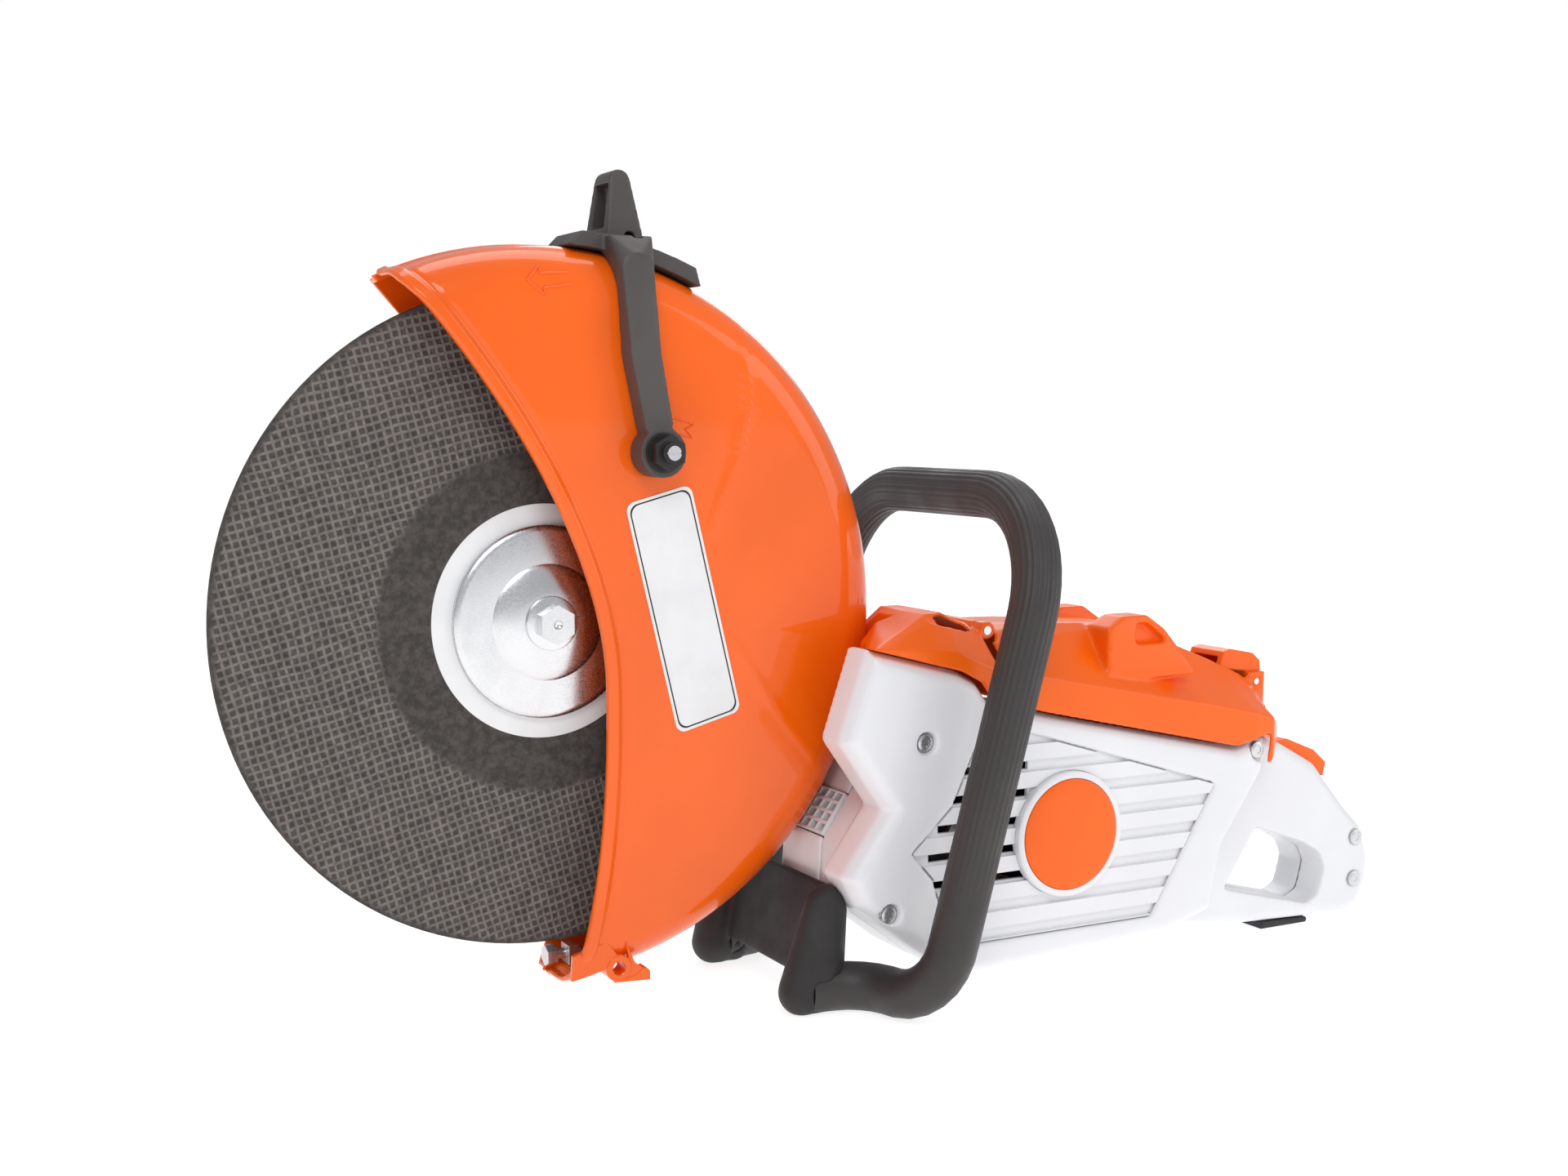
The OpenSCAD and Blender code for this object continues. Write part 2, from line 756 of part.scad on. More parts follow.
module front_grille() {
    color([0.88, 0.88, 0.89]) at_body() difference() {
        translate([0, seat / 3, 0]) on_grille() difference() {
            block([-1.5, body_mid + seat, 2 + seat], [6, grille_far - seat, grille_l - 2 - seat]);
            for (i = [0 : 3], k = [0 : 4])
                block([-4, body_mid + 2.2 + 8.2 * k, 4 + 6.6 * i], [8, body_mid + 8.6 + 8.2 * k, 8.6 + 6.6 * i]);
        }
        guard_room();
    }
}

// slatted panel behind the window of the near half
module side_panel() {
    back = body_near + shell_wall + seat;
    color([0.92, 0.92, 0.93]) at_body() difference() {
        union() {
            slab(inset(window_outline, -1.8), back, back + panel_t);
            intersection() {
                slab(inset(window_outline, 0.5), body_near - 0.5, back + cut);
                for (i = [0 : 8])
                    block([-40, body_near + 0.5, 26 + slat_pitch * i], [220, back + 0.5, 26 + slat_pitch * i + slat_h]);
            }
        }
        for (i = [3 : 7])
            block([-30 + 6 * i, back - cut, 26 + slat_pitch * i - 5.5], [60, back + 4, 26 + slat_pitch * i - 1]);
        bar(badge_d / 2 + 4 + seat, body_near - 6, back, 87, 91);
    }
}

module badge_ring() {
    back = body_near + shell_wall + seat;
    color([0.95, 0.95, 0.95]) at_body() difference() {
        bar(badge_d / 2 + 4, body_near - 3, back, 87, 91);
        bar(badge_d / 2, body_near - 3 - cut, body_near, 87, 91);
    }
}

module badge_disc() {
    color([0.97, 0.38, 0.1]) at_body() bar(badge_d / 2 - 0.2, body_near - 3.6, body_near, 87, 91);
}

module housing_screws() {
    top = body_near + pocket_depth;
    color([0.75, 0.75, 0.76]) at_body() for (i = [0 : 2]) {
        bar(screw_head_r, top - screw_head_h, top, screw_spots[i][0], screw_spots[i][1]);
        bar(screw_r, top - cut, screw_ends[i], screw_spots[i][0], screw_spots[i][1]);
    }
}

module handle_screws() {
    near = body_mid - handle_half;
    color([0.75, 0.75, 0.76]) at_body() for (p = handle_spots) {
        bar(screw_head_r, near + 2 - screw_head_h, near + 2, p[0], p[1]);
        bar(screw_r, near + 1, body_mid + handle_half - 7, p[0], p[1]);
    }
}

// ---------- orange covers ----------

// section of the top cover at one station: side, shoulder, ridge and crown heights
function crown(half, bottom, shoulder, ridge, top, d) = inset([
    [body_mid - half, bottom], [body_mid + half, bottom], [body_mid + half, shoulder],
    [body_mid + half * 0.62, ridge], [body_mid + half * 0.32, top], [body_mid - half * 0.32, top],
    [body_mid - half * 0.62, ridge], [body_mid - half, shoulder]
], d);

function crown_centre(s) = [body_mid, (s[2] + s[3]) / 2];

half_top = body_w / 2;
flap_front = 40.5;
cover_t = 2.6;

// [x, half width, bottom, shoulder, ridge, crown]
flap_stations = [
    [flap_front, half_top, 130, 188, 206, 211], [80, half_top, 120, 180, 202, 210],
    [145, half_top, 110, 167, 186, 206], [192, half_top, 110, 158, 172, 190],
    [228, half_top, 110, 150, 163, 176], [242, half_top - 1, 120, 146, 158, 170],
    [270, half_top - 28, 126, 136, 142, 160]
];

// housing and handle outlines raised by the seat, which trim the covers' lower edges
module cover_trim() {
    slab(inset(lobe_outline, -seat), body_near - 10, body_mid - 19);
    slab(inset(core_outline, -seat), body_mid - 25, body_far + 10);
    slab(inset(handle_outline, -seat), body_mid - handle_half - seat, body_mid + handle_half + seat);
    slab([[-45, 204.4], [-61, 150], [14, 188], [3.4, 198.4]], body_mid - 25, body_mid - 19);
}

module hump(side) {
    y = body_mid + side * 30;
    hull() {
        block([118, y - 15, 176], [182, y + 13, 180]);
        block([132, y - 10, 204], [150, y + 8, 212.5]);
        block([120, y - 12, 196], [124, y + 10, 206]);
        block([158, y - 9, 196], [164, y + 7, 204]);
    }
}

module hump_pocket(side) {
    translate([0, body_mid + side * 30, 0]) mirror([0, side < 0 ? 1 : 0, 0]) hull() {
        block([140, 7, 196], [162, 22, 199]);
        block([142, 5, 207], [150, 20, 208]);
    }
}

module knuckle_cut(from, to) {
    bar(knuckle_r + 0.6, from, to, flap_axis[0], flap_axis[1]);
}

knuckle_half = 20;
ear_w = 10;

module battery_flap() {
    color([0.95, 0.4, 0.11]) at_body() difference() {
        union() {
            difference() {
                union() {
                    loft_x([
                        for (s = flap_stations) [s[0], crown(s[1], s[2], s[3], s[4], s[5], 0), crown_centre(s)]
                    ]);
                    for (side = [-1, 1]) hump(side);
                }
                loft_x([
                    for (i = [0 : len(flap_stations) - 1])
                        let (s = flap_stations[i])
                        [s[0] + (i == 0 ? cover_t : i == len(flap_stations) - 1 ? -cover_t : 0),
                         crown(s[1], s[2] - 12, s[3], s[4], s[5], cover_t), crown_centre(s)]
                ]);
                knuckle_cut(body_mid - 60, body_mid + 60);
                block([30, body_mid - 60, 150], [43.5, body_mid + 60, flap_axis[1] + 6]);
            }
            bar(knuckle_r, body_mid - knuckle_half, body_mid + knuckle_half, flap_axis[0], flap_axis[1]);
            block([45, body_mid - knuckle_half, flap_axis[1] - 4], [60, body_mid + knuckle_half, flap_axis[1]]);
            for (side = [-1, 1])
                block([249, body_mid + side * 17.6 - 1.6, 150], [263, body_mid + side * 17.6 + 1.6, 170]);
        }
        cover_trim();
        bar(flap_pin_r + play, body_mid - 40, body_mid + 40, flap_axis[0], flap_axis[1]);
        block([224, body_mid - latch_w / 2 - 0.8, 148], [290, body_mid + latch_w / 2 + 0.8, 190]);
        bar(latch_pin_r, body_mid - 22, body_mid + 22, latch_axis[0], latch_axis[1]);
        for (side = [-1, 1]) hump_pocket(side);
    }
}

module flap_pin() {
    color([0.7, 0.7, 0.72]) at_body()
        bar(flap_pin_r, body_mid - knuckle_half - ear_w, body_mid + knuckle_half + ear_w, flap_axis[0], flap_axis[1]);
}

module nose_shape(d) {
    near = body_near + d;
    far = body_far - d;
    hull() {
        block([-44 + d * 2, near, 150], [-40, near + 6, 204.5 - d]);
        block([flap_front - 3, near, 150], [flap_front - 2, far, 188 - d]);
        block([flap_front - 3, body_mid - 32, 150], [flap_front - 2, body_mid + 32, 206 - d]);
        block([flap_front - 3, body_mid - 17, 150], [flap_front - 2, body_mid + 17, 211 - d]);
        block([6 + d, body_mid - 24, 150], [18, body_mid + 24, 219 - d]);
        block([2 + d, body_mid - 20, 150], [6, far, 199 - d]);
        block([4, near, 150], [10, near + 2, 200 - d]);
    }
}

module nose_cover() {
    color([0.96, 0.4, 0.11]) at_body() difference() {
        union() {
            difference() {
                nose_shape(0);
                nose_shape(cover_t);
            }
            for (side = [-1, 1]) {
                inner = knuckle_half + 0.4;
                from = side > 0 ? body_mid + inner : body_mid - inner - ear_w;
                bar(knuckle_r, from, from + ear_w, flap_axis[0], flap_axis[1]);
                block([36, from, flap_axis[1] - 5], [flap_axis[0], from + ear_w, flap_axis[1]]);
            }
        }
        cover_trim();
        guard_room();
        knuckle_cut(body_mid - knuckle_half - 0.4, body_mid + knuckle_half + 0.4);
        bar(flap_pin_r, body_mid - 40, body_mid + 40, flap_axis[0], flap_axis[1]);
        hull() {
            translate([-4, body_mid - 36, 218]) cube([10, 4, 10]);
            translate([32, body_mid - 18, 214]) cube([4, 4, 10]);
            translate([26, body_mid - 32, 207]) cube([4, 4, 14]);
        }
    }
}

module flap_latch() {
    color([0.9, 0.36, 0.1]) at_body() difference() {
        slab([[228, 172], [232, 183], [238, 184.5], [256, 181], [262, 176], [263, 166], [259, 157.5],
              [252, 157.5], [250, 170], [236, 172]], body_mid - latch_w / 2, body_mid + latch_w / 2);
        slab([[226, 174], [229, 180], [246, 177], [247, 173]], body_mid - latch_w / 2 + 4, body_mid + latch_w / 2 - 4);
        bar(latch_pin_r + play, body_mid - 30, body_mid + 30, latch_axis[0], latch_axis[1]);
    }
}

module latch_pin() {
    color([0.7, 0.7, 0.72]) at_body() bar(latch_pin_r, body_mid - 19, body_mid + 19, latch_axis[0], latch_axis[1]);
}

// ---------- levers of the rear handle ----------

module lockout_lever() {
    color([0.93, 0.37, 0.1]) at_body() difference() {
        slab([[263, 115], [266, 121], [291, 123], [314, 114], [325, 105], [323, 96], [312, 101], [290, 111],
              [272, 110]], body_mid - lockout_w / 2, body_mid + lockout_w / 2);
        bar(lever_pin_r + play, body_mid - 20, body_mid + 20, lockout_axis[0], lockout_axis[1]);
    }
}

module lockout_pin() {
    color([0.7, 0.7, 0.72]) at_body()
        bar(lever_pin_r, body_mid - pin_half, body_mid + pin_half, lockout_axis[0], lockout_axis[1]);
}

module trigger() {
    color([0.2, 0.2, 0.2]) at_body() difference() {
        slab([[234, 70], [238, 80], [246, 80], [258, 68], [252, 58], [240, 40], [231, 36], [228, 44], [232, 58]],
             body_mid - trigger_w / 2, body_mid + trigger_w / 2);
        bar(lever_pin_r + play, body_mid - 20, body_mid + 20, trigger_axis[0], trigger_axis[1]);
    }
}

module trigger_pin() {
    color([0.7, 0.7, 0.72]) at_body()
        bar(lever_pin_r, body_mid - pin_half, body_mid + pin_half, trigger_axis[0], trigger_axis[1]);
}

module trigger_switch() {
    color([0.15, 0.15, 0.16]) at_body() block([222, body_mid - 9, 90], [258, body_mid + 9, 104]);
}

// ---------- battery ----------

module battery() {
    color([0.2, 0.2, 0.21]) in_bay() difference() {
        block([0, -battery_w / 2, -battery_h], [battery_l, battery_w / 2, 0]);
        for (k = [-1 : 1])
            block([battery_l / 2 - 12, 9 * k - 1.2, -battery_h - cut], [battery_l / 2 + 12, 9 * k + 1.2, -battery_h + 9]);
    }
}

module battery_tray() {
    w = battery_w / 2 + bay_gap;
    low = -battery_h - block_h;
    color([0.14, 0.14, 0.15]) in_bay() difference() {
        block([-bay_gap - tray_wall, -w - tray_wall, low - tray_wall], [battery_l + bay_gap + tray_wall, w + tray_wall, -1]);
        block([-bay_gap, -w, low], [battery_l + bay_gap, w, 10]);
    }
}

module contact_block() {
    low = -battery_h - block_h;
    mid = battery_l / 2;
    color([0.8, 0.65, 0.3]) in_bay() {
        block([mid - 20, -18, low], [mid + 20, 18, -battery_h - seat]);
        for (k = [-1 : 1]) block([mid - 10, 9 * k - 0.7, low + 4], [mid + 10, 9 * k + 0.7, -battery_h + 8]);
    }
}

// ---------- motor and drive ----------

rotor_r = motor_d / 2 - 14;

module at_motor() {
    at_body() translate([motor_x, 0, motor_z]) children();
}

module motor_stator() {
    color([0.6, 0.4, 0.25]) at_motor() tube_y(motor_d / 2, rotor_r + 0.6, motor_near, motor_far);
}

module motor_rotor() {
    color([0.55, 0.56, 0.58]) at_motor() tube_y(rotor_r, shaft_r, motor_near + 2, motor_far - 2);
}

module motor_shaft() {
    color([0.65, 0.65, 0.67]) at_motor() bar(shaft_r, motor_near - 24, pulley_y + pulley_w);
}

module motor_end_plates() {
    color([0.6, 0.61, 0.63]) at_motor() {
        tube_y(motor_d / 2 + 1, 14, motor_far + seat, body_far - side_bevel - 0.2);
        tube_y(30, 14, body_far - side_bevel - 1, body_far - shell_wall - seat);
        tube_y(motor_d / 2 + 1, 14, motor_near - 9, motor_near - seat);
    }
}

module motor_bearings() {
    color([0.5, 0.5, 0.52]) at_motor() {
        tube_y(14 - play, shaft_r + play, motor_far + 1, motor_far + 9);
        tube_y(14 - play, shaft_r + play, motor_near - 9, motor_near - 1);
    }
}

module motor_fan() {
    color([0.2, 0.2, 0.2]) at_motor() {
        tube_y(10, shaft_r, motor_near - 22, motor_near - 12);
        for (i = [0 : 8]) rotate([0, i * 40, 0])
            block([8, motor_near - 22, -0.9], [motor_d / 2 - 6, motor_near - 12, 0.9]);
    }
}

module motor_pulley() {
    color([0.55, 0.56, 0.58]) at_motor() difference() {
        union() {
            bar(motor_pulley_r, pulley_y, pulley_y + pulley_w);
            bar(motor_pulley_r + flange_rim, pulley_y, pulley_y + 1.5);
            bar(motor_pulley_r + flange_rim, pulley_y + pulley_w - 1.5, pulley_y + pulley_w);
        }
        bar(shaft_r, pulley_y - cut, pulley_y + pulley_w + cut);
    }
}

// outline of the belt round both pulleys, in short straight steps
function belt_outline(a, b) = let (lean = acos((a - b) / arm_l)) concat(
    [for (i = [0 : 20]) arm_l * [1, 0] + b * [cos(lean * (i / 10 - 1)), sin(lean * (i / 10 - 1))]],
    [for (i = [0 : 30]) let (w = lean + (360 - 2 * lean) * i / 30) a * [cos(w), sin(w)]]
);

module belt() {
    from = pulley_y + 2;
    color([0.12, 0.12, 0.12]) along_arm() difference() {
        slab(belt_outline(spindle_pulley_r + seat + belt_t, motor_pulley_r + seat + belt_t), from, from + belt_w);
        slab(belt_outline(spindle_pulley_r + seat + 0.1, motor_pulley_r + seat + 0.1), from - cut, from + belt_w + cut);
    }
}

arm_spots = [[70, 16], [70, -16], [185, 12], [185, -12]];

module arm() {
    color([0.7, 0.71, 0.73]) along_arm() difference() {
        union() {
            belt_line(45, 39, arm_y, arm_y + arm_t);
            bar(hub_boss_r, guard_far - 6, arm_y + cut);
            bar(27, arm_y, arm_y + arm_t + 2.6);
            tube_y(34, shaft_r + 4, body_far + 0.5, arm_y + cut, arm_l);
        }
        bar(20 + play / 2, guard_far - 8, arm_y + arm_t + 6);
        bar(shaft_r + 4, arm_y - cut, arm_y + arm_t + cut, arm_l);
        for (p = arm_spots) bar(screw_r, arm_y - cut, arm_y + arm_t + cut, p[0], p[1]);
    }
}

module belt_cover() {
    from = arm_y + arm_t + seat;
    color([0.85, 0.85, 0.86]) along_arm() difference() {
        belt_line(45, 39, from, cover_far);
        difference() {
            belt_line(42.5, 36.5, from - cut, cover_far - 2.5);
            for (p = arm_spots) bar(5, from, cover_far, p[0], p[1]);
        }
        for (p = arm_spots) bar(screw_r, from - cut, cover_far + cut, p[0], p[1]);
    }
}

module arm_screws() {
    color([0.75, 0.75, 0.76]) along_arm() for (p = arm_spots) {
        bar(4.5, cover_far, cover_far + 3, p[0], p[1]);
        bar(screw_r - play, arm_y + 1, cover_far + 1, p[0], p[1]);
    }
}

module controller() {
    near = body_near + shell_wall + 8;
    color([0.2, 0.22, 0.2]) at_body() {
        block([8, near, 33], [66, body_far - shell_wall - seat, 47]);
        for (i = [0 : 6]) block([12 + 7 * i, near, 46], [14 + 7 * i, body_far - 8, 58]);
    }
}

// three wires that pass beside the battery tray
wire_y = body_mid + battery_w / 2 + bay_gap + tray_wall + 2.6;
function wire_path(k) =
    let (a = [66.3, wire_y, 40 + 4 * k], b = [120, wire_y, 52 + 4 * k], c = [211, wire_y, 86 + 4 * k],
         d = [219, body_mid + 4 * k, 95.5])
    concat([a], bend(a, b, c, 20, 4), bend(b, c, d, 12, 6), [d]);

module motor_wires() {
    color([0.6, 0.1, 0.1]) at_body() for (k = [-1 : 1]) swept(wire_path(k), 1.6, 8);
}

// ---------- front handle, bumper and feet ----------

foot_r = 13;
foot_z = 12;
near_foot = [-72, -54, foot_z];
far_foot = [-72, 56, foot_z];
leg_lean = 0.267;

function leg_x(z) = 52 + (z - 284) * leg_lean;

// corners of the handle: foot, bottom, top near, top far, bottom, foot
low_z = tube_d / 2;
tube_start = [-68, near_foot[1], low_z];
tube_end = [-68, far_foot[1], low_z];
near_turn = [-34, -60, low_z];
far_turn = [-34, 62, low_z];
near_low = [leg_x(low_z), near_leg_y, low_z];
far_low = [leg_x(low_z), far_leg_y, low_z];
near_top = [leg_x(bar_h), near_leg_y, bar_h];
far_top = [leg_x(bar_h), far_leg_y, bar_h];
near_run = norm(near_low - near_turn);
far_run = norm(far_low - far_turn);
handle_path = concat(
    [tube_start],
    bend(tube_start, near_turn, near_low, 0.32 * near_run, 4),
    bend(near_turn, near_low, near_top, 0.58 * near_run, 7),
    bend(near_low, near_top, far_top, 66, 9),
    bend(near_top, far_top, far_low, 54, 8),
    bend(far_top, far_low, far_turn, 0.58 * far_run, 7),
    bend(far_low, far_turn, tube_end, 0.32 * far_run, 4),
    [tube_end]
);
sleeve_t = 3;

module handle_tube() {
    color([0.3, 0.3, 0.32]) at_body() swept(handle_path, tube_d / 2 - sleeve_t - 0.1, 16);
}

module handle_sleeve() {
    color([0.27, 0.25, 0.24]) at_body() swept_sleeve(handle_path, tube_d / 2, tube_d / 2 - sleeve_t, 16);
}

module foot_bar(side_y, top_y) {
    hull() {
        translate([-72, side_y, foot_z]) sphere(r = foot_r, $fn = 28);
        translate([-60, side_y, foot_z]) sphere(r = foot_r, $fn = 28);
        translate([-58, top_y, 62]) sphere(r = foot_r - 2, $fn = 28);
        translate([-52 - seat - 10, top_y, 62]) sphere(r = foot_r - 4, $fn = 28);
    }
}

module front_bumper() {
    color([0.17, 0.16, 0.16]) at_body() difference() {
        union() {
            foot_bar(near_foot[1], near_foot[1] - 4);
            foot_bar(far_foot[1], far_foot[1] + 4);
            hull() {
                block([-54, near_foot[1], 66], [-50, far_foot[1], 70]);
                block([-68, near_foot[1], 18], [-64, far_foot[1], 22]);
            }
        }
        block([-200, -200, -40], [200, 200, 0]);
        slab(inset(core_outline, -seat), -200, 200);
        slab(inset(lobe_outline, -seat), -200, body_mid - 19);
        swept(handle_path, tube_d / 2 + 0.1, 16);
    }
}

module rubber_buffers() {
    color([0.1, 0.1, 0.1]) at_body() for (y = [body_mid + 2, body_mid + 48]) difference() {
        bar(11, y - 8, y + 8, -44, 48);
        slab(inset(core_outline, -seat), -200, 200);
        slab([[-200, 0], [-68.9, 0], [-49.6, 66], [-200, 72]], -200, 200);
    }
}

module rear_foot() {
    color([0.12, 0.12, 0.12]) at_body() difference() {
        block([272, body_mid - 15, 0], [312, body_mid + 15, 12]);
        slab(inset(handle_outline, -seat), -200, 200);
    }
}

left_housing();
right_housing();
side_panel();
badge_ring();
badge_disc();
front_grille();
nose_cover();
battery();
battery_tray();
contact_block();
motor_stator();
motor_end_plates();
motor_bearings();
motor_rotor();
motor_shaft();
motor_fan();
motor_pulley();
arm();
belt_cover();
belt();
spindle_bearings();
controller();
motor_wires();
handle_tube();
handle_sleeve();
front_bumper();
rubber_buffers();
rear_foot();
trigger_switch();
trigger_pin();
lockout_pin();
flap_pin();
housing_screws();
handle_screws();
arm_screws();
cutting_wheel();
wheel_label();
outer_flange();
inner_flange();
wheel_washer();
wheel_bolt();
spindle();
spindle_pulley();
spindle_nut();
guard_shell();
guard_back();
guard_ring();
adjusting_handle();
saddle_screw();
water_nozzle();
nozzle_screw();
stop_bolt();
guard_plate();
trigger();
lockout_lever();
battery_flap();
flap_latch();
latch_pin();
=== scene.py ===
import json
import math

import bmesh
import bpy
from mathutils import Matrix, Vector


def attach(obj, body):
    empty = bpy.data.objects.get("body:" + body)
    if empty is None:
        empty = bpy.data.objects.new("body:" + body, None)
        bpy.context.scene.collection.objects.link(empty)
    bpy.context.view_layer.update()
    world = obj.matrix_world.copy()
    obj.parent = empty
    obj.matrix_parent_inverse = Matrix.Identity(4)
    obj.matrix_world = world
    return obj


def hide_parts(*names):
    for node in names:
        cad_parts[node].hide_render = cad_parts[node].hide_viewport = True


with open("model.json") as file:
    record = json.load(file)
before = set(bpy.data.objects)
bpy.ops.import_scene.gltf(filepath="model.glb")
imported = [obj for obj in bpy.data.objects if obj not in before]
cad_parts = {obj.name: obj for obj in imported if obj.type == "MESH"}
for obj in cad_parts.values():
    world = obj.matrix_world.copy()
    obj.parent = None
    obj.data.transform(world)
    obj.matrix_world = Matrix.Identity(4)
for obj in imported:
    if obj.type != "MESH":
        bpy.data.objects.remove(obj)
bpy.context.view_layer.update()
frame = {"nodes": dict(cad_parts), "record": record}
nodes = frame["nodes"]
MM = 0.001
HUB = Vector((-193.0, 7.5, 220.0))
BODY = Vector((7.0, 7.5, 0.0))


def atHub(x, y, z):
    return (HUB + Vector((x, y, z))) * MM


def atBody(x, y, z):
    return (BODY + Vector((x, y, z))) * MM


# ---------- materials ----------

def link(tree, a, b):
    tree.links.new(a, b)


def newMaterial(name, base, rough, metallic=0.0, coat=0.0, coatRough=0.1, specular=0.5):
    mat = bpy.data.materials.new(name)
    mat.use_nodes = True
    tree = mat.node_tree
    bsdf = tree.nodes["Principled BSDF"]
    bsdf.inputs["Base Color"].default_value = (*base, 1)
    bsdf.inputs["Roughness"].default_value = rough
    bsdf.inputs["Metallic"].default_value = metallic
    bsdf.inputs["Coat Weight"].default_value = coat
    bsdf.inputs["Coat Roughness"].default_value = coatRough
    bsdf.inputs["Specular IOR Level"].default_value = specular
    return mat, tree, bsdf


def objectPoint(tree, scale=(1, 1, 1), turn=(0, 0, 0)):
    place = tree.nodes.new("ShaderNodeTexCoord")
    mapping = tree.nodes.new("ShaderNodeMapping")
    mapping.inputs["Scale"].default_value = scale
    mapping.inputs["Rotation"].default_value = turn
    link(tree, place.outputs["Object"], mapping.inputs["Vector"])
    return mapping.outputs["Vector"]


def noise(tree, point, scale, detail=3.0, rough=0.55):
    node = tree.nodes.new("ShaderNodeTexNoise")
    node.inputs["Scale"].default_value = scale
    node.inputs["Detail"].default_value = detail
    node.inputs["Roughness"].default_value = rough
    link(tree, point, node.inputs["Vector"])
    return node.outputs["Fac"]


def ramp(tree, value, low, high, toLow=0.0, toHigh=1.0):
    node = tree.nodes.new("ShaderNodeMapRange")
    node.interpolation_type = "SMOOTHSTEP"
    for name, number in (("From Min", low), ("From Max", high), ("To Min", toLow), ("To Max", toHigh)):
        node.inputs[name].default_value = number
    link(tree, value, node.inputs["Value"])
    return node.outputs["Result"]


def arithmetic(tree, kind, a, b, clamp=False):
    node = tree.nodes.new("ShaderNodeMath")
    node.operation = kind
    node.use_clamp = clamp
    for k, value in enumerate((a, b)):
        if isinstance(value, (int, float)):
            node.inputs[k].default_value = value
        else:
            link(tree, value, node.inputs[k])
    return node.outputs["Value"]


def blendColour(tree, factor, a, b):
    node = tree.nodes.new("ShaderNodeMix")
    node.data_type = "RGBA"
    if isinstance(factor, (int, float)):
        node.inputs["Factor"].default_value = factor
    else:
        link(tree, factor, node.inputs["Factor"])
    for name, value in (("A", a), ("B", b)):
        socket = [s for s in node.inputs if s.name == name and s.type == "RGBA"][0]
        if isinstance(value, tuple):
            socket.default_value = (*value, 1)
        else:
            link(tree, value, socket)
    return [s for s in node.outputs if s.type == "RGBA"][0]


def bumpFrom(tree, bsdf, height, distance, strength=1.0, below=None):
    node = tree.nodes.new("ShaderNodeBump")
    node.inputs["Strength"].default_value = strength
    node.inputs["Distance"].default_value = distance
    link(tree, height, node.inputs["Height"])
    if below is not None:
        link(tree, below, node.inputs["Normal"])
    link(tree, node.outputs["Normal"], bsdf.inputs["Normal"])
    return node.outputs["Normal"]


def pointiness(tree, low, high):
    geometry = tree.nodes.new("ShaderNodeNewGeometry")
    return ramp(tree, geometry.outputs["Pointiness"], low, high)


def moulded(name, base, rough, grain, depth, wear=0.25, worn=None, coat=0.0, spread=0.06, specular=0.5):
    mat, tree, bsdf = newMaterial(name, base, rough, coat=coat, coatRough=0.18, specular=specular)
    point = objectPoint(tree)
    clouds = noise(tree, point, 14, 4)
    fine = noise(tree, point, grain, 2)
    darker = tuple(c * (1 - spread * 2) for c in base)
    lighter = tuple(min(1, c * (1 + spread)) for c in base)
    colour = blendColour(tree, ramp(tree, clouds, 0.3, 0.7), darker, lighter)
    edges = arithmetic(tree, "MULTIPLY", pointiness(tree, 0.56, 0.7), wear)
    worn = worn or tuple(min(1, c * 1.25 + 0.02) for c in base)
    link(tree, blendColour(tree, edges, colour, worn), bsdf.inputs["Base Color"])
    patches = noise(tree, point, 45, 3)
    link(tree, ramp(tree, patches, 0.25, 0.75, rough * 0.85, min(1, rough * 1.2)), bsdf.inputs["Roughness"])
    bumpFrom(tree, bsdf, fine, depth)
    return mat


def metal(name, base, rough, stretch=(1, 1, 1), scale=900, depth=0.00002, spots=0.1):
    mat, tree, bsdf = newMaterial(name, base, rough, metallic=1.0)
    streaks = noise(tree, objectPoint(tree, stretch), scale, 3)
    point = objectPoint(tree)
    clouds = noise(tree, point, 60, 4)
    darker = tuple(c * (1 - spots) for c in base)
    colour = blendColour(tree, ramp(tree, clouds, 0.35, 0.7), base, darker)
    link(tree, colour, bsdf.inputs["Base Color"])
    both = arithmetic(tree, "ADD", arithmetic(tree, "MULTIPLY", streaks, 0.6), arithmetic(tree, "MULTIPLY", clouds, 0.4))
    link(tree, ramp(tree, both, 0.3, 0.7, rough * 0.75, min(1, rough * 1.3)), bsdf.inputs["Roughness"])
    bumpFrom(tree, bsdf, streaks, depth)
    return mat


def lacquer(name, base):
    mat, tree, bsdf = newMaterial(name, base, 0.3, coat=0.7, coatRough=0.05, specular=0.2)
    point = objectPoint(tree)
    clouds = noise(tree, point, 9, 3)
    flakes = noise(tree, point, 2600, 2)
    deep = tuple(c * 0.88 for c in base)
    colour = blendColour(tree, ramp(tree, clouds, 0.3, 0.7), deep, base)
    # paler orange (0.92, 0.36, 0.16) on sharp edges, masked by pointiness and noise: partly rubbed paint, partly a
    # painted sheen standing in for edge highlights
    rubbedAndSheen = arithmetic(tree, "MULTIPLY", pointiness(tree, 0.6, 0.8), noise(tree, point, 160, 4))
    link(tree, blendColour(tree, rubbedAndSheen, colour, (0.92, 0.36, 0.16)), bsdf.inputs["Base Color"])
    link(tree, ramp(tree, flakes, 0.2, 0.8, 0.24, 0.38), bsdf.inputs["Roughness"])
    peel = noise(tree, point, 420, 2)
    bumpFrom(tree, bsdf, peel, 0.00006)
    return mat


def ribbedRubber(name, base):
    mat = moulded(name, base, 0.5, 2400, 0.00004, wear=0.2, spread=0.1)
    return mat


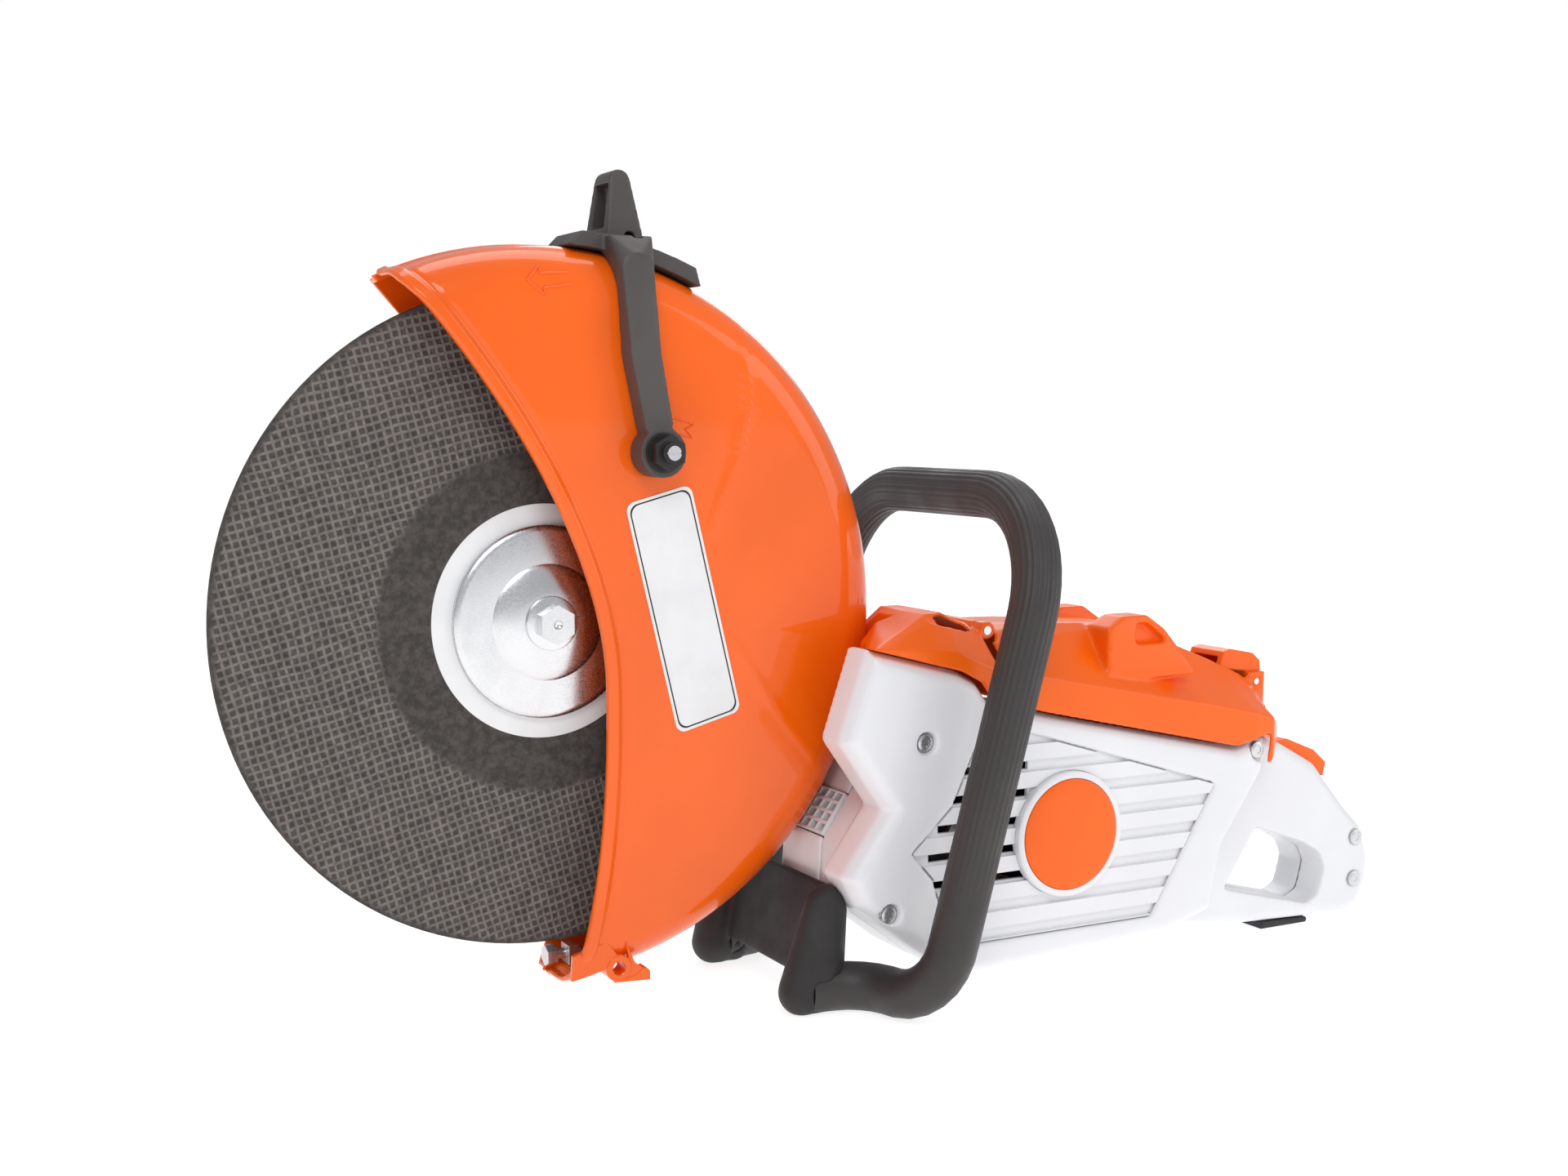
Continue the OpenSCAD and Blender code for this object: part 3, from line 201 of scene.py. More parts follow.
def wovenAbrasive(name):
    mat, tree, bsdf = newMaterial(name, (0.1, 0.085, 0.076), 0.85, specular=0.35)
    place = tree.nodes.new("ShaderNodeTexCoord")
    split = tree.nodes.new("ShaderNodeSeparateXYZ")
    link(tree, place.outputs["Object"], split.inputs["Vector"])
    x = arithmetic(tree, "SUBTRACT", split.outputs["X"], HUB.x * MM)
    z = arithmetic(tree, "SUBTRACT", split.outputs["Z"], HUB.z * MM)
    radius = arithmetic(tree, "SQRT", arithmetic(tree, "ADD", arithmetic(tree, "MULTIPLY", x, x),
                                                arithmetic(tree, "MULTIPLY", z, z)), 0)
    sway = arithmetic(tree, "MULTIPLY", arithmetic(tree, "SUBTRACT", noise(tree, objectPoint(tree), 30, 2), 0.5), 0.004)

    def threads(angle, pitch):
        c, s = math.cos(math.radians(angle)), math.sin(math.radians(angle))
        run = arithmetic(tree, "ADD", arithmetic(tree, "MULTIPLY", x, c), arithmetic(tree, "MULTIPLY", z, s))
        run = arithmetic(tree, "ADD", run, sway)
        return arithmetic(tree, "SINE", arithmetic(tree, "MULTIPLY", run, 2 * math.pi / pitch), 0)

    across = threads(104, 0.0042)
    along = threads(14, 0.0042)
    grid = arithmetic(tree, "MAXIMUM", across, along)
    band = arithmetic(tree, "MULTIPLY", ramp(tree, radius, 0.088, 0.094), ramp(tree, radius, 0.1745, 0.171))
    weave = arithmetic(tree, "MULTIPLY", ramp(tree, grid, -0.3, 0.95), band)
    grit = noise(tree, objectPoint(tree), 1500, 4, 0.7)
    speck = noise(tree, objectPoint(tree), 260, 4, 0.65)
    dark = blendColour(tree, ramp(tree, speck, 0.35, 0.7), (0.035, 0.03, 0.027), (0.075, 0.064, 0.058))
    light = blendColour(tree, ramp(tree, speck, 0.3, 0.7), (0.15, 0.13, 0.117), (0.25, 0.22, 0.2))
    strength = arithmetic(tree, "ADD", arithmetic(tree, "MULTIPLY", weave, 0.75), 0.12)
    link(tree, blendColour(tree, strength, dark, light), bsdf.inputs["Base Color"])
    link(tree, ramp(tree, grit, 0.2, 0.8, 0.72, 0.95), bsdf.inputs["Roughness"])
    height = arithmetic(tree, "ADD", weave, arithmetic(tree, "MULTIPLY", grit, 0.5))
    bumpFrom(tree, bsdf, height, 0.0006)
    return mat


def paper(name, base):
    mat, tree, bsdf = newMaterial(name, base, 0.42, coat=0.25, coatRough=0.25)
    point = objectPoint(tree)
    clouds = noise(tree, point, 40, 4)
    fibres = noise(tree, point, 1400, 3)
    colour = blendColour(tree, ramp(tree, clouds, 0.35, 0.75), base, tuple(c * 0.93 for c in base))
    link(tree, colour, bsdf.inputs["Base Color"])
    link(tree, ramp(tree, fibres, 0.2, 0.8, 0.36, 0.5), bsdf.inputs["Roughness"])
    bumpFrom(tree, bsdf, fibres, 0.00002)
    return mat


ORANGE = (1.0, 0.138, 0.002)
materials = {
    "white_shell": moulded("whiteShell", (0.83, 0.83, 0.85), 0.36, 1900, 0.00003, wear=0.5,
                           worn=(0.93, 0.93, 0.94), coat=0.15, spread=0.015),
    "orange_cover": moulded("orangeCover", ORANGE, 0.33, 1700, 0.00003, wear=0.3, coat=0.2, spread=0.03, specular=0.25),
    "orange_paint": lacquer("orangePaint", ORANGE),
    "grey_rubber": ribbedRubber("greyRubber", (0.045, 0.04, 0.038)),
    "grey_plastic": moulded("greyPlastic", (0.075, 0.065, 0.06), 0.5, 1300, 0.00006, wear=0.35, spread=0.08),
    "black_plastic": moulded("blackPlastic", (0.016, 0.015, 0.015), 0.42, 1500, 0.00004, wear=0.2, spread=0.1),
    "black_rubber": moulded("blackRubber", (0.022, 0.02, 0.02), 0.6, 1100, 0.00005, wear=0.25, spread=0.12),
    "abrasive": wovenAbrasive("wovenAbrasive"),
    "steel": metal("turnedSteel", (0.78, 0.78, 0.79), 0.26, spots=0.04),
    "screw_steel": metal("screwSteel", (0.66, 0.66, 0.67), 0.32, scale=1500),
    "cast_aluminium": metal("castAluminium", (0.72, 0.73, 0.75), 0.48, scale=700, depth=0.00008, spots=0.14),
    "paper_white": paper("paperWhite", (0.86, 0.86, 0.86)),
    "brass_part": metal("brassPart", (0.78, 0.56, 0.24), 0.3),
    "copper_winding": metal("copperWinding", (0.8, 0.38, 0.18), 0.35, stretch=(1, 12, 1), scale=400, depth=0.0001),
    "magnet_steel": metal("magnetSteel", (0.45, 0.46, 0.48), 0.38, stretch=(1, 30, 1), scale=300),
    "board": moulded("boardGreen", (0.04, 0.1, 0.06), 0.45, 900, 0.00004, spread=0.15),
    "red_wire": moulded("redWire", (0.45, 0.02, 0.015), 0.42, 900, 0.00003, spread=0.1),
}
for entry in frame["record"]["subparts"]:
    nodes[entry["node"]].data.materials.clear()
    nodes[entry["node"]].data.materials.append(materials[entry["material_slot"]])
print("materials ready")


# ---------- mesh helpers ----------

def finishPiece(mesh, name, body, slot, smooth=True):
    mesh.name = name
    obj = bpy.data.objects.new(name, mesh)
    bpy.context.scene.collection.objects.link(obj)
    mesh.materials.append(materials[slot])
    if smooth:
        for face in mesh.polygons:
            face.use_smooth = True
    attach(obj, body)
    return obj


def meshFrom(bm):
    bmesh.ops.recalc_face_normals(bm, faces=bm.faces)
    mesh = bpy.data.meshes.new("piece")
    bm.to_mesh(mesh)
    bm.free()
    return mesh


def sharpen(obj, degrees=30):
    mesh = obj.data
    bm = bmesh.new()
    bm.from_mesh(mesh)
    limit = math.radians(degrees)
    for edge in bm.edges:
        if len(edge.link_faces) == 2:
            edge.smooth = edge.calc_face_angle(0) < limit
    bm.to_mesh(mesh)
    bm.free()


def roundEdges(obj, width, segments=2, degrees=32, dissolve=True):
    for attribute in ("custom_normal",):
        if attribute in obj.data.attributes:
            obj.data.attributes.remove(obj.data.attributes[attribute])
    for face in obj.data.polygons:
        face.use_smooth = True
    weld = obj.modifiers.new("weld", "WELD")
    weld.merge_threshold = 0.00001
    if dissolve:
        flat = obj.modifiers.new("flat", "DECIMATE")
        flat.decimate_type = "DISSOLVE"
        flat.angle_limit = math.radians(0.6)
    bevel = obj.modifiers.new("bevel", "BEVEL")
    bevel.width = width
    bevel.segments = segments
    bevel.limit_method = "ANGLE"
    bevel.angle_limit = math.radians(degrees)
    bevel.harden_normals = True
    bevel.use_clamp_overlap = True
    bevel.miter_outer = "MITER_ARC"


def lathe(name, body, slot, centre, profile, steps=128, close=False):
    """profile is [radius, y] in mm, turned about the axis along Y through centre"""
    bm = bmesh.new()
    verts = [bm.verts.new(((centre.x + r) * MM, (centre.y + y) * MM, centre.z * MM)) for r, y in profile]
    pairs = list(zip(verts, verts[1:])) + ([(verts[-1], verts[0])] if close else [])
    edges = [bm.edges.new(pair) for pair in pairs]
    bmesh.ops.spin(bm, geom=verts + edges, cent=centre * MM, axis=(0, 1, 0), angle=2 * math.pi,
                   steps=steps, use_merge=True, use_duplicate=False)
    bmesh.ops.remove_doubles(bm, verts=bm.verts, dist=1e-7)
    obj = finishPiece(meshFrom(bm), name, body, slot)
    sharpen(obj)
    return obj


def bezierPoint(a, b, c, d, t):
    return a * (1 - t) ** 3 + b * 3 * t * (1 - t) ** 2 + c * 3 * t * t * (1 - t) + d * t ** 3


def sweep(name, body, slot, path, section, closedPath=False, smooth=True, up=Vector((0, 0, 1))):
    """path in metres, section gives [side, up] offsets in metres at a place from 0 to 1"""
    bm = bmesh.new()
    count = len(path)
    rings = []
    side = None
    for i, point in enumerate(path):
        ahead = path[(i + 1) % count] if closedPath or i + 1 < count else point
        behind = path[i - 1] if closedPath or i else point
        tangent = (ahead - behind).normalized()
        base = up if side is None else side
        side = (base - tangent * base.dot(tangent)).normalized()
        other = tangent.cross(side)
        rings.append([bm.verts.new(point + side * a + other * b) for a, b in section(i / (count - 1))])
    size = len(rings[0])
    for i in range(count if closedPath else count - 1):
        a, b = rings[i], rings[(i + 1) % count]
        for k in range(size):
            bm.faces.new((a[k], a[(k + 1) % size], b[(k + 1) % size], b[k]))
    if not closedPath:
        bm.faces.new(list(reversed(rings[0])))
        bm.faces.new(rings[-1])
    obj = finishPiece(meshFrom(bm), name, body, slot, smooth)
    sharpen(obj, 40)
    return obj


def copyOf(node):
    mesh = nodes[node].data.copy()
    mesh.materials.clear()
    if "custom_normal" in mesh.attributes:
        mesh.attributes.remove(mesh.attributes["custom_normal"])
    bm = bmesh.new()
    bm.from_mesh(mesh)
    bmesh.ops.remove_doubles(bm, verts=bm.verts, dist=1e-6)
    bm.to_mesh(mesh)
    bm.free()
    return mesh


def softened(name, node, body, slot, voxel, passes, factor=0.5):
    """the solid of a node with its edges rounded as a moulding's are"""
    obj = finishPiece(copyOf(node), name, body, slot)
    remesh = obj.modifiers.new("remesh", "REMESH")
    remesh.mode = "VOXEL"
    remesh.voxel_size = voxel * MM
    remesh.use_smooth_shade = True
    smooth = obj.modifiers.new("smooth", "SMOOTH")
    smooth.factor = factor
    smooth.iterations = passes
    depsgraph = bpy.context.evaluated_depsgraph_get()
    mesh = bpy.data.meshes.new_from_object(obj.evaluated_get(depsgraph))
    obj.modifiers.clear()
    obj.data = mesh
    for face in mesh.polygons:
        face.use_smooth = True
    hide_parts(node)
    return obj


# ---------- camera, floor and light ----------

view = {"yaw": 27.191, "pitch": 8.2606, "place": (-0.53998, -0.89529, 0.32813), "lens": 41.76,
        "shift": (0.0289, 0.0584)}
cameraData = bpy.data.cameras.new("camera")
cameraData.sensor_width = 36
cameraData.lens = view["lens"]
cameraData.shift_x, cameraData.shift_y = view["shift"]
camera = bpy.data.objects.new("camera", cameraData)
bpy.context.scene.collection.objects.link(camera)
yaw, pitch = math.radians(view["yaw"]), math.radians(view["pitch"])
forward = Vector((math.sin(yaw) * math.cos(pitch), math.cos(yaw) * math.cos(pitch), -math.sin(pitch)))
camera.location = view["place"]
camera.rotation_mode = "QUATERNION"
camera.rotation_quaternion = forward.to_track_quat("-Z", "Y")
bpy.context.scene.camera = camera
bpy.context.scene.view_settings.view_transform = "Standard"

floorMesh = bpy.data.meshes.new("floor")
floorSheet = bmesh.new()
bmesh.ops.create_grid(floorSheet, x_segments=1, y_segments=1, size=60)
floorSheet.to_mesh(floorMesh)
floorSheet.free()
floor = bpy.data.objects.new("floor", floorMesh)
bpy.context.scene.collection.objects.link(floor)
floorPaint, floorTree, floorShader = newMaterial("floorPaint", (0.5, 0.5, 0.5), 0.6, specular=0.1)
floorShader.inputs["Emission Color"].default_value = (1, 1, 1, 1)
floorShader.inputs["Emission Strength"].default_value = 0.8
floorMesh.materials.append(floorPaint)

world = bpy.data.worlds.new("studio")
bpy.context.scene.world = world
world.use_nodes = True
sky = world.node_tree
for node in list(sky.nodes):
    sky.nodes.remove(node)
outWorld = sky.nodes.new("ShaderNodeOutputWorld")
dim = sky.nodes.new("ShaderNodeBackground")
dim.inputs["Color"].default_value = (0.93, 0.95, 1.0, 1)
dim.inputs["Strength"].default_value = 0.5
white = sky.nodes.new("ShaderNodeBackground")
white.inputs["Color"].default_value = (1, 1, 1, 1)
white.inputs["Strength"].default_value = 1.0
pathInfo = sky.nodes.new("ShaderNodeLightPath")
mixWorld = sky.nodes.new("ShaderNodeMixShader")
link(sky, pathInfo.outputs["Is Camera Ray"], mixWorld.inputs["Fac"])
link(sky, dim.outputs["Background"], mixWorld.inputs[1])
link(sky, white.outputs["Background"], mixWorld.inputs[2])
link(sky, mixWorld.outputs["Shader"], outWorld.inputs["Surface"])


def softLight(name, place, target, size, power, height=None):
    data = bpy.data.lights.new(name, "AREA")
    data.shape = "RECTANGLE"
    data.size = size
    data.size_y = height or size
    data.energy = power
    light = bpy.data.objects.new(name, data)
    light.location = place
    light.rotation_mode = "QUATERNION"
    light.rotation_quaternion = (Vector(target) - Vector(place)).to_track_quat("-Z", "Y")
    bpy.context.scene.collection.objects.link(light)
    return light


softLight("keyLight", (-0.9, -1.7, 1.9), (-0.05, 0, 0.2), 1.2, 17, 0.9)
softLight("fillLight", (1.9, -1.5, 0.9), (0.1, 0, 0.15), 1.4, 9)
softLight("topLight", (0.3, 0.5, 2.2), (0, 0, 0.2), 1.6, 11, 1.0)
softLight("rimLight", (1.2, 1.8, 1.4), (0, 0, 0.2), 1.2, 9)
print("camera, floor and light ready")

# ---------- guard ----------

guard = {"radius": 195.0, "near": 27.0, "far": 13.0, "round": 25.0, "wall": 2.5, "lip": 2.2, "lipWidth": 7.0,
         "rows": 84, "columns": 230}
flatRadius = guard["radius"] - guard["round"]
bendLength = guard["round"] * math.pi / 2
fullRadius = flatRadius + bendLength + (guard["far"] + guard["near"] - guard["round"])


def unrolled(x, z):
    r = math.hypot(x, z)
    if r > flatRadius:
        r = flatRadius + guard["round"] * math.asin(min(1.0, (r - flatRadius) / guard["round"]))
    a = math.atan2(z, x)
    return Vector((r * math.cos(a), r * math.sin(a)))


def onGuard(flat, lift=0.0):
    """a point of the unrolled sheet, lifted off the guard's outside, in mm from the hub"""
    rho, a = flat.length, math.atan2(flat.y, flat.x)
    near, r0, bend = guard["near"], flatRadius, guard["round"]
    if rho <= r0:
        r, y, nr, ny = rho, -near, 0.0, -1.0
    elif rho <= r0 + bendLength:
        t = (rho - r0) / bend
        r, y, nr, ny = r0 + bend * math.sin(t), bend - near - bend * math.cos(t), math.sin(t), -math.cos(t)
    else:
        r, y, nr, ny = guard["radius"], bend - near + rho - r0 - bendLength, 1.0, 0.0
    r, y = r + nr * lift, y + ny * lift
    return Vector((r * math.cos(a), y, r * math.sin(a)))


edgeTop, edgeMid, edgeLow = Vector((-86, 180)), Vector((24, -30)), Vector((1, -199))
upper = [bezierPoint(edgeTop, Vector((-20, 110)), Vector((22, 30)), edgeMid, t / 60) for t in range(60)]
lower = [bezierPoint(edgeMid, Vector((25, -90)), Vector((20, -150)), edgeLow, t / 60) for t in range(61)]
frontEdge = [unrolled(p.x, p.y) for p in upper + lower if p.length < guard["radius"] - 0.4]
for end in (0, -1):
    angle = math.atan2(frontEdge[end].y, frontEdge[end].x)
    start = frontEdge[end].length
    extra = [Vector((math.cos(angle), math.sin(angle))) * (start + (fullRadius - start) * k / 8) for k in range(1, 9)]
    frontEdge = extra[::-1] + frontEdge if end == 0 else frontEdge + extra


def spaced(points, count):
    lengths = [0.0]
    for a, b in zip(points, points[1:]):
        lengths.append(lengths[-1] + (b - a).length)
    result, k = [], 0
    for i in range(count):
        goal = lengths[-1] * i / (count - 1)
        while k < len(points) - 2 and lengths[k + 1] < goal:
            k += 1
        span = lengths[k + 1] - lengths[k]
        result.append(points[k].lerp(points[k + 1], (goal - lengths[k]) / span if span else 0))
    return result


def distanceTo(point, line):
    best = 1e9
    for a, b in zip(line, line[1:]):
        run = b - a
        t = max(0.0, min(1.0, (point - a).dot(run) / max(run.length_squared, 1e-9)))
        best = min(best, (point - a - run * t).length)
    return best


def smoothStep(value, low, high):
    t = max(0.0, min(1.0, (value - low) / (high - low)))
    return t * t * (3 - 2 * t)


creaseUp = [unrolled(*p) for p in ((108, 152), (107, 141), (108, 112), (103, 86), (86, 47), (80, 25))]
creaseDown = [unrolled(*p) for p in ((80, 25), (86, 5), (116, -39), (152, -84), (160, -100))]
arcTop = math.atan2(frontEdge[0].y, frontEdge[0].x)
arcLow = math.atan2(frontEdge[-1].y, frontEdge[-1].x)


plateOutline = [Vector(p) for p in ((36, 62), (74, 72), (104, -52), (66, -62))]


def outsidePlate(point):
    return max((point - a).dot(Vector(((a - b).y, (b - a).x)).normalized())
               for a, b in zip(plateOutline, plateOutline[1:] + plateOutline[:1]))


def rimPoint(t):
    a = arcTop + (arcLow - arcTop) * t
    return Vector((math.cos(a), math.sin(a))) * fullRadius


def guardSheet(thin, lift):
    rows, columns = guard["rows"], guard["columns"]
    edge = spaced(frontEdge, columns)
    shares = [0.0]
    for k in range(rows - 1):
        shares.append(shares[-1] + (0.9 if k < 20 else 0.9 + 0.1 * (k - 20) if k < 40 else 2.9))
    shares = [s / shares[-1] for s in shares]
    split = 0.17
    grid = []
    for i, w in enumerate(shares):
        line = []
        topSide, lowSide = rimPoint(split * w), rimPoint(1 - split * w)
        for j in range(columns):
            u = j / (columns - 1)
            far = rimPoint(split + (1 - 2 * split) * u)
            a = edge[j].lerp(far, w) + topSide.lerp(lowSide, u)
            b = edge[0].lerp(rimPoint(split), w).lerp(edge[-1].lerp(rimPoint(1 - split), w), u)
            line.append(a - b)
        grid.append(line)
    bm = bmesh.new()
    layers = []
    for line in grid:
        row = []
        for flat in line:
            if flat.length > fullRadius:
                flat = flat * (fullRadius / flat.length)
            d = distanceTo(flat, frontEdge)
            bead = guard["lip"] * (smoothStep(d, -0.6, 1.6) * 1.12 - 1.12 * smoothStep(d, 6.2, 9.4))
            bead -= 0.45 * math.exp(-((d - 10.6) / 1.3) ** 2)
            dUp, dDown = distanceTo(flat, creaseUp), distanceTo(flat, creaseDown)
            clear = smoothStep(outsidePlate(flat), 1.0, 6.0)
            bead += clear * (0.9 * math.exp(-(dUp / 1.8) ** 2) + 0.8 * math.exp(-(dDown / 2.2) ** 2))
            bead += 1.1 * math.exp(-((flat.length - fullRadius + 1.6) / 1.5) ** 2)
            row.append(bm.verts.new((HUB + onGuard(flat, bead * thin + lift)) * MM))
        layers.append(row)
    for a, b in zip(layers, layers[1:]):
        for j in range(columns - 1):
            bm.faces.new((a[j], a[j + 1], b[j + 1], b[j]))
    return bm, layers


sheet, layers = guardSheet(1.0, 0.0)
bmesh.ops.remove_doubles(sheet, verts=sheet.verts, dist=1e-6)
guardShell = finishPiece(meshFrom(sheet), "guardShell", "guard", "orange_paint")
thickness = guardShell.modifiers.new("thickness", "SOLIDIFY")
thickness.thickness = guard["wall"] * MM
thickness.offset = -1
thickness.use_even_offset = True
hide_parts("guard_shell")
print("guard ready")


def guardPoint(x, z, lift):
    return (HUB + onGuard(unrolled(x, z), lift)) * MM


def beadSection(radius):
    return lambda t: [(radius * math.cos(a * math.pi / 5), radius * math.sin(a * math.pi / 5)) for a in range(10)]


arrow = ((8, 174), (-7, 172), (-7, 168.5), (-16, 175.5), (-8.5, 183), (-8.5, 179), (7, 180))
arrowPath = []
for a, b in zip(arrow, arrow[1:]):
    arrowPath += [guardPoint(*(Vector(a).lerp(Vector(b), t / 4)), 0.1) for t in range(4)]
arrowPath.append(guardPoint(*arrow[-1], 0.1))
sweep("topArrow", "guard", "orange_paint", arrowPath, beadSection(0.0007), up=Vector((0, 1, 0)))
smallArrow = [guardPoint(x, z, 0.1) for x, z in ((62, 107.5), (69, 106), (76, 103.5), (71, 101), (75, 96.5), (68, 98))]
sweep("sideArrow", "guard", "orange_paint", smallArrow, beadSection(0.0006), up=Vector((0, 1, 0)))

handleSolid = softened("adjustingHandle", "adjusting_handle", "guard", "grey_plastic", 0.8, 5)
bumper = softened("bumper", "front_bumper", "machine", "black_rubber", 1.3, 6)
lever = softened("lockoutLever", "lockout_lever", "lockout", "orange_cover", 0.6, 4)
flap = softened("batteryFlap", "battery_flap", "flap", "orange_cover", 1.2, 7)
nearHousing = softened("nearHousing", "left_housing", "machine", "white_shell", 1.5, 7)
farHousing = softened("farHousing", "right_housing", "machine", "white_shell", 1.5, 7)
nose = softened("noseCover", "nose_cover", "machine", "orange_cover", 0.9, 6)
latch = softened("flapLatch", "flap_latch", "latch", "orange_cover", 0.6, 3)
print("soft mouldings ready")

# ---------- front handle ----------

handle = {"radius": 13.5, "bar": 284, "near": -113, "far": 98, "foot": (-68, 0, 13.5), "lean": 0.267, "sides": 72,
          "ridge": 0.45, "ridges": 24}


def legX(z):
    return 52 + (z - 284) * handle["lean"]


def bendAt(a, b, c, distance, count):
    s, e = b + (a - b).normalized() * distance, b + (c - b).normalized() * distance
    return [bezierPoint(s, s.lerp(b, 0.55), e.lerp(b, 0.55), e, t / count) for t in range(count + 1)]


low = handle["radius"]
corners = [Vector(p) for p in ((-68, -54, low), (-34, -60, low), (legX(low), -113, low), (legX(284), -113, 284),
                               (legX(284), 98, 284), (legX(low), 98, low), (-34, 62, low), (-68, 56, low))]
nearRun, farRun = (corners[2] - corners[1]).length, (corners[5] - corners[6]).length
reaches = (0.32 * nearRun, 0.58 * nearRun, 66, 54, 0.58 * farRun, 0.32 * farRun)
handlePath = [corners[0]]
for k, distance in enumerate(reaches):
    handlePath += bendAt(corners[k], corners[k + 1], corners[k + 2], distance, 14)
handlePath.append(corners[-1])


def gripSection(t):
    fade = smoothStep(t, 0.14, 0.2) * smoothStep(1 - t, 0.14, 0.2)
    ring = []
    for k in range(handle["sides"] * 2):
        a = math.pi * k / handle["sides"]
        groove = handle["ridge"] * fade * (0.5 - 0.5 * math.cos(a * handle["ridges"])) ** 2
        r = (handle["radius"] - groove) * MM
        ring.append((r * math.cos(a), r * math.sin(a)))
    return ring


grip = sweep("handleGrip", "machine", "grey_rubber", [(BODY + p) * MM for p in spaced(handlePath, 110)], gripSection)
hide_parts("handle_sleeve")
print("front handle ready")

# ---------- wheel mounting ----------

label = lathe("labelRing", "wheel", "paper_white", HUB,
              [(30, -2.05), (30, -2.35), (61.6, -2.35), (62.3, -2.25), (62.4, -2.02)], 160)
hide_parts("wheel_label")
flange = lathe("outerFlange", "wheel", "steel", HUB, [
    (6.1, -4.3), (36, -4.3), (38, -2.4), (51.3, -2.4), (51.5, -2.8), (51.5, -5.2), (51.2, -5.7), (50.4, -6.3),
    (49.2, -6.9), (48, -7.1), (32, -7.45), (31, -7.5), (30.4, -7.9), (29, -8.6), (26, -9.4), (22.5, -10.4), (19, -11.1),
    (15.5, -11.7), (12.2, -11.8), (6.1, -11.8)], 160)
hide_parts("outer_flange")
washer = lathe("boltWasher", "wheel", "steel", HUB, [(6.1, -11.85), (6.1, -13.7), (13.6, -13.8), (14.2, -13.5), (14.4, -13.1),
                                                    (14.4, -11.85)], 96)
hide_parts("wheel_washer")
badge = lathe("badgeDisc", "machine", "orange_cover", BODY + Vector((87, 0, 91)), [
    (0.01, -85.9), (14, -85.85), (26, -85.7), (31, -85.5), (32, -85.2), (32.3, -84.6), (32.3, -82.2)], 128)
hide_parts("badge_disc")
ring = lathe("badgeRing", "machine", "white_shell", BODY + Vector((87, 0, 91)), [
    (32.5, -82.2), (32.5, -84.7), (32.8, -85.1), (33.6, -85.2), (35.4, -85.0), (36.2, -84.5), (36.5, -83.8), (36.5, -79)], 128)
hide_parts("badge_ring")


def screwHead(name, body, slot, centre, axis, radius, height, lobes=6):
    """pan head with a lobed recess; centre is the top of the head in metres, axis points out of it"""
    bm = bmesh.new()
    count = 72
    recess = radius * 0.46

    def star(a, size):
        return size * (1 - 0.16 * (0.5 + 0.5 * math.cos(lobes * a)))

    stack = [(lambda a: radius, -height), (lambda a: radius, -height * 0.45), (lambda a: radius * 0.93, -height * 0.12),
             (lambda a: radius * 0.8, 0), (lambda a: star(a, recess * 1.08), 0), (lambda a: star(a, recess), -height * 0.12),
             (lambda a: star(a, recess), -height * 0.6), (lambda a: star(a, recess * 0.5), -height * 0.72)]
    turn = Vector(axis).to_track_quat("Z", "Y").to_matrix()
    rings = []
    for size, depth in stack:
        rings.append([bm.verts.new(centre + turn @ (Vector((size(2 * math.pi * k / count) * math.cos(2 * math.pi * k / count),
                      size(2 * math.pi * k / count) * math.sin(2 * math.pi * k / count), depth)) * MM)) for k in range(count)])
    for a, b in zip(rings, rings[1:]):
        for k in range(count):
            bm.faces.new((a[k], a[(k + 1) % count], b[(k + 1) % count], b[k]))
    bm.faces.new(rings[-1])
    bm.faces.new(list(reversed(rings[0])))
    obj = finishPiece(meshFrom(bm), name, body, slot)
    sharpen(obj, 35)
    return obj


for k, (x, z) in enumerate(((-9, 151), (-31, 57), (231, 127))):
    screwHead(f"housingScrew{k}", "machine", "screw_steel", atBody(x, -79.35, z), (0, -1, 0), 5.1, 3.3)
for k, (x, z) in enumerate(((345, 55), (345, 27))):
    screwHead(f"handleScrew{k}", "machine", "screw_steel", atBody(x, -52.2, z), (0, -1, 0), 5.05, 3.4)
tilt = math.radians(22)
outward = Vector((math.sin(tilt), 0, math.cos(tilt)))
screwHead("saddleScrew", "guard", "screw_steel", HUB * MM + outward * 0.2064, outward, 5.7, 3.6)


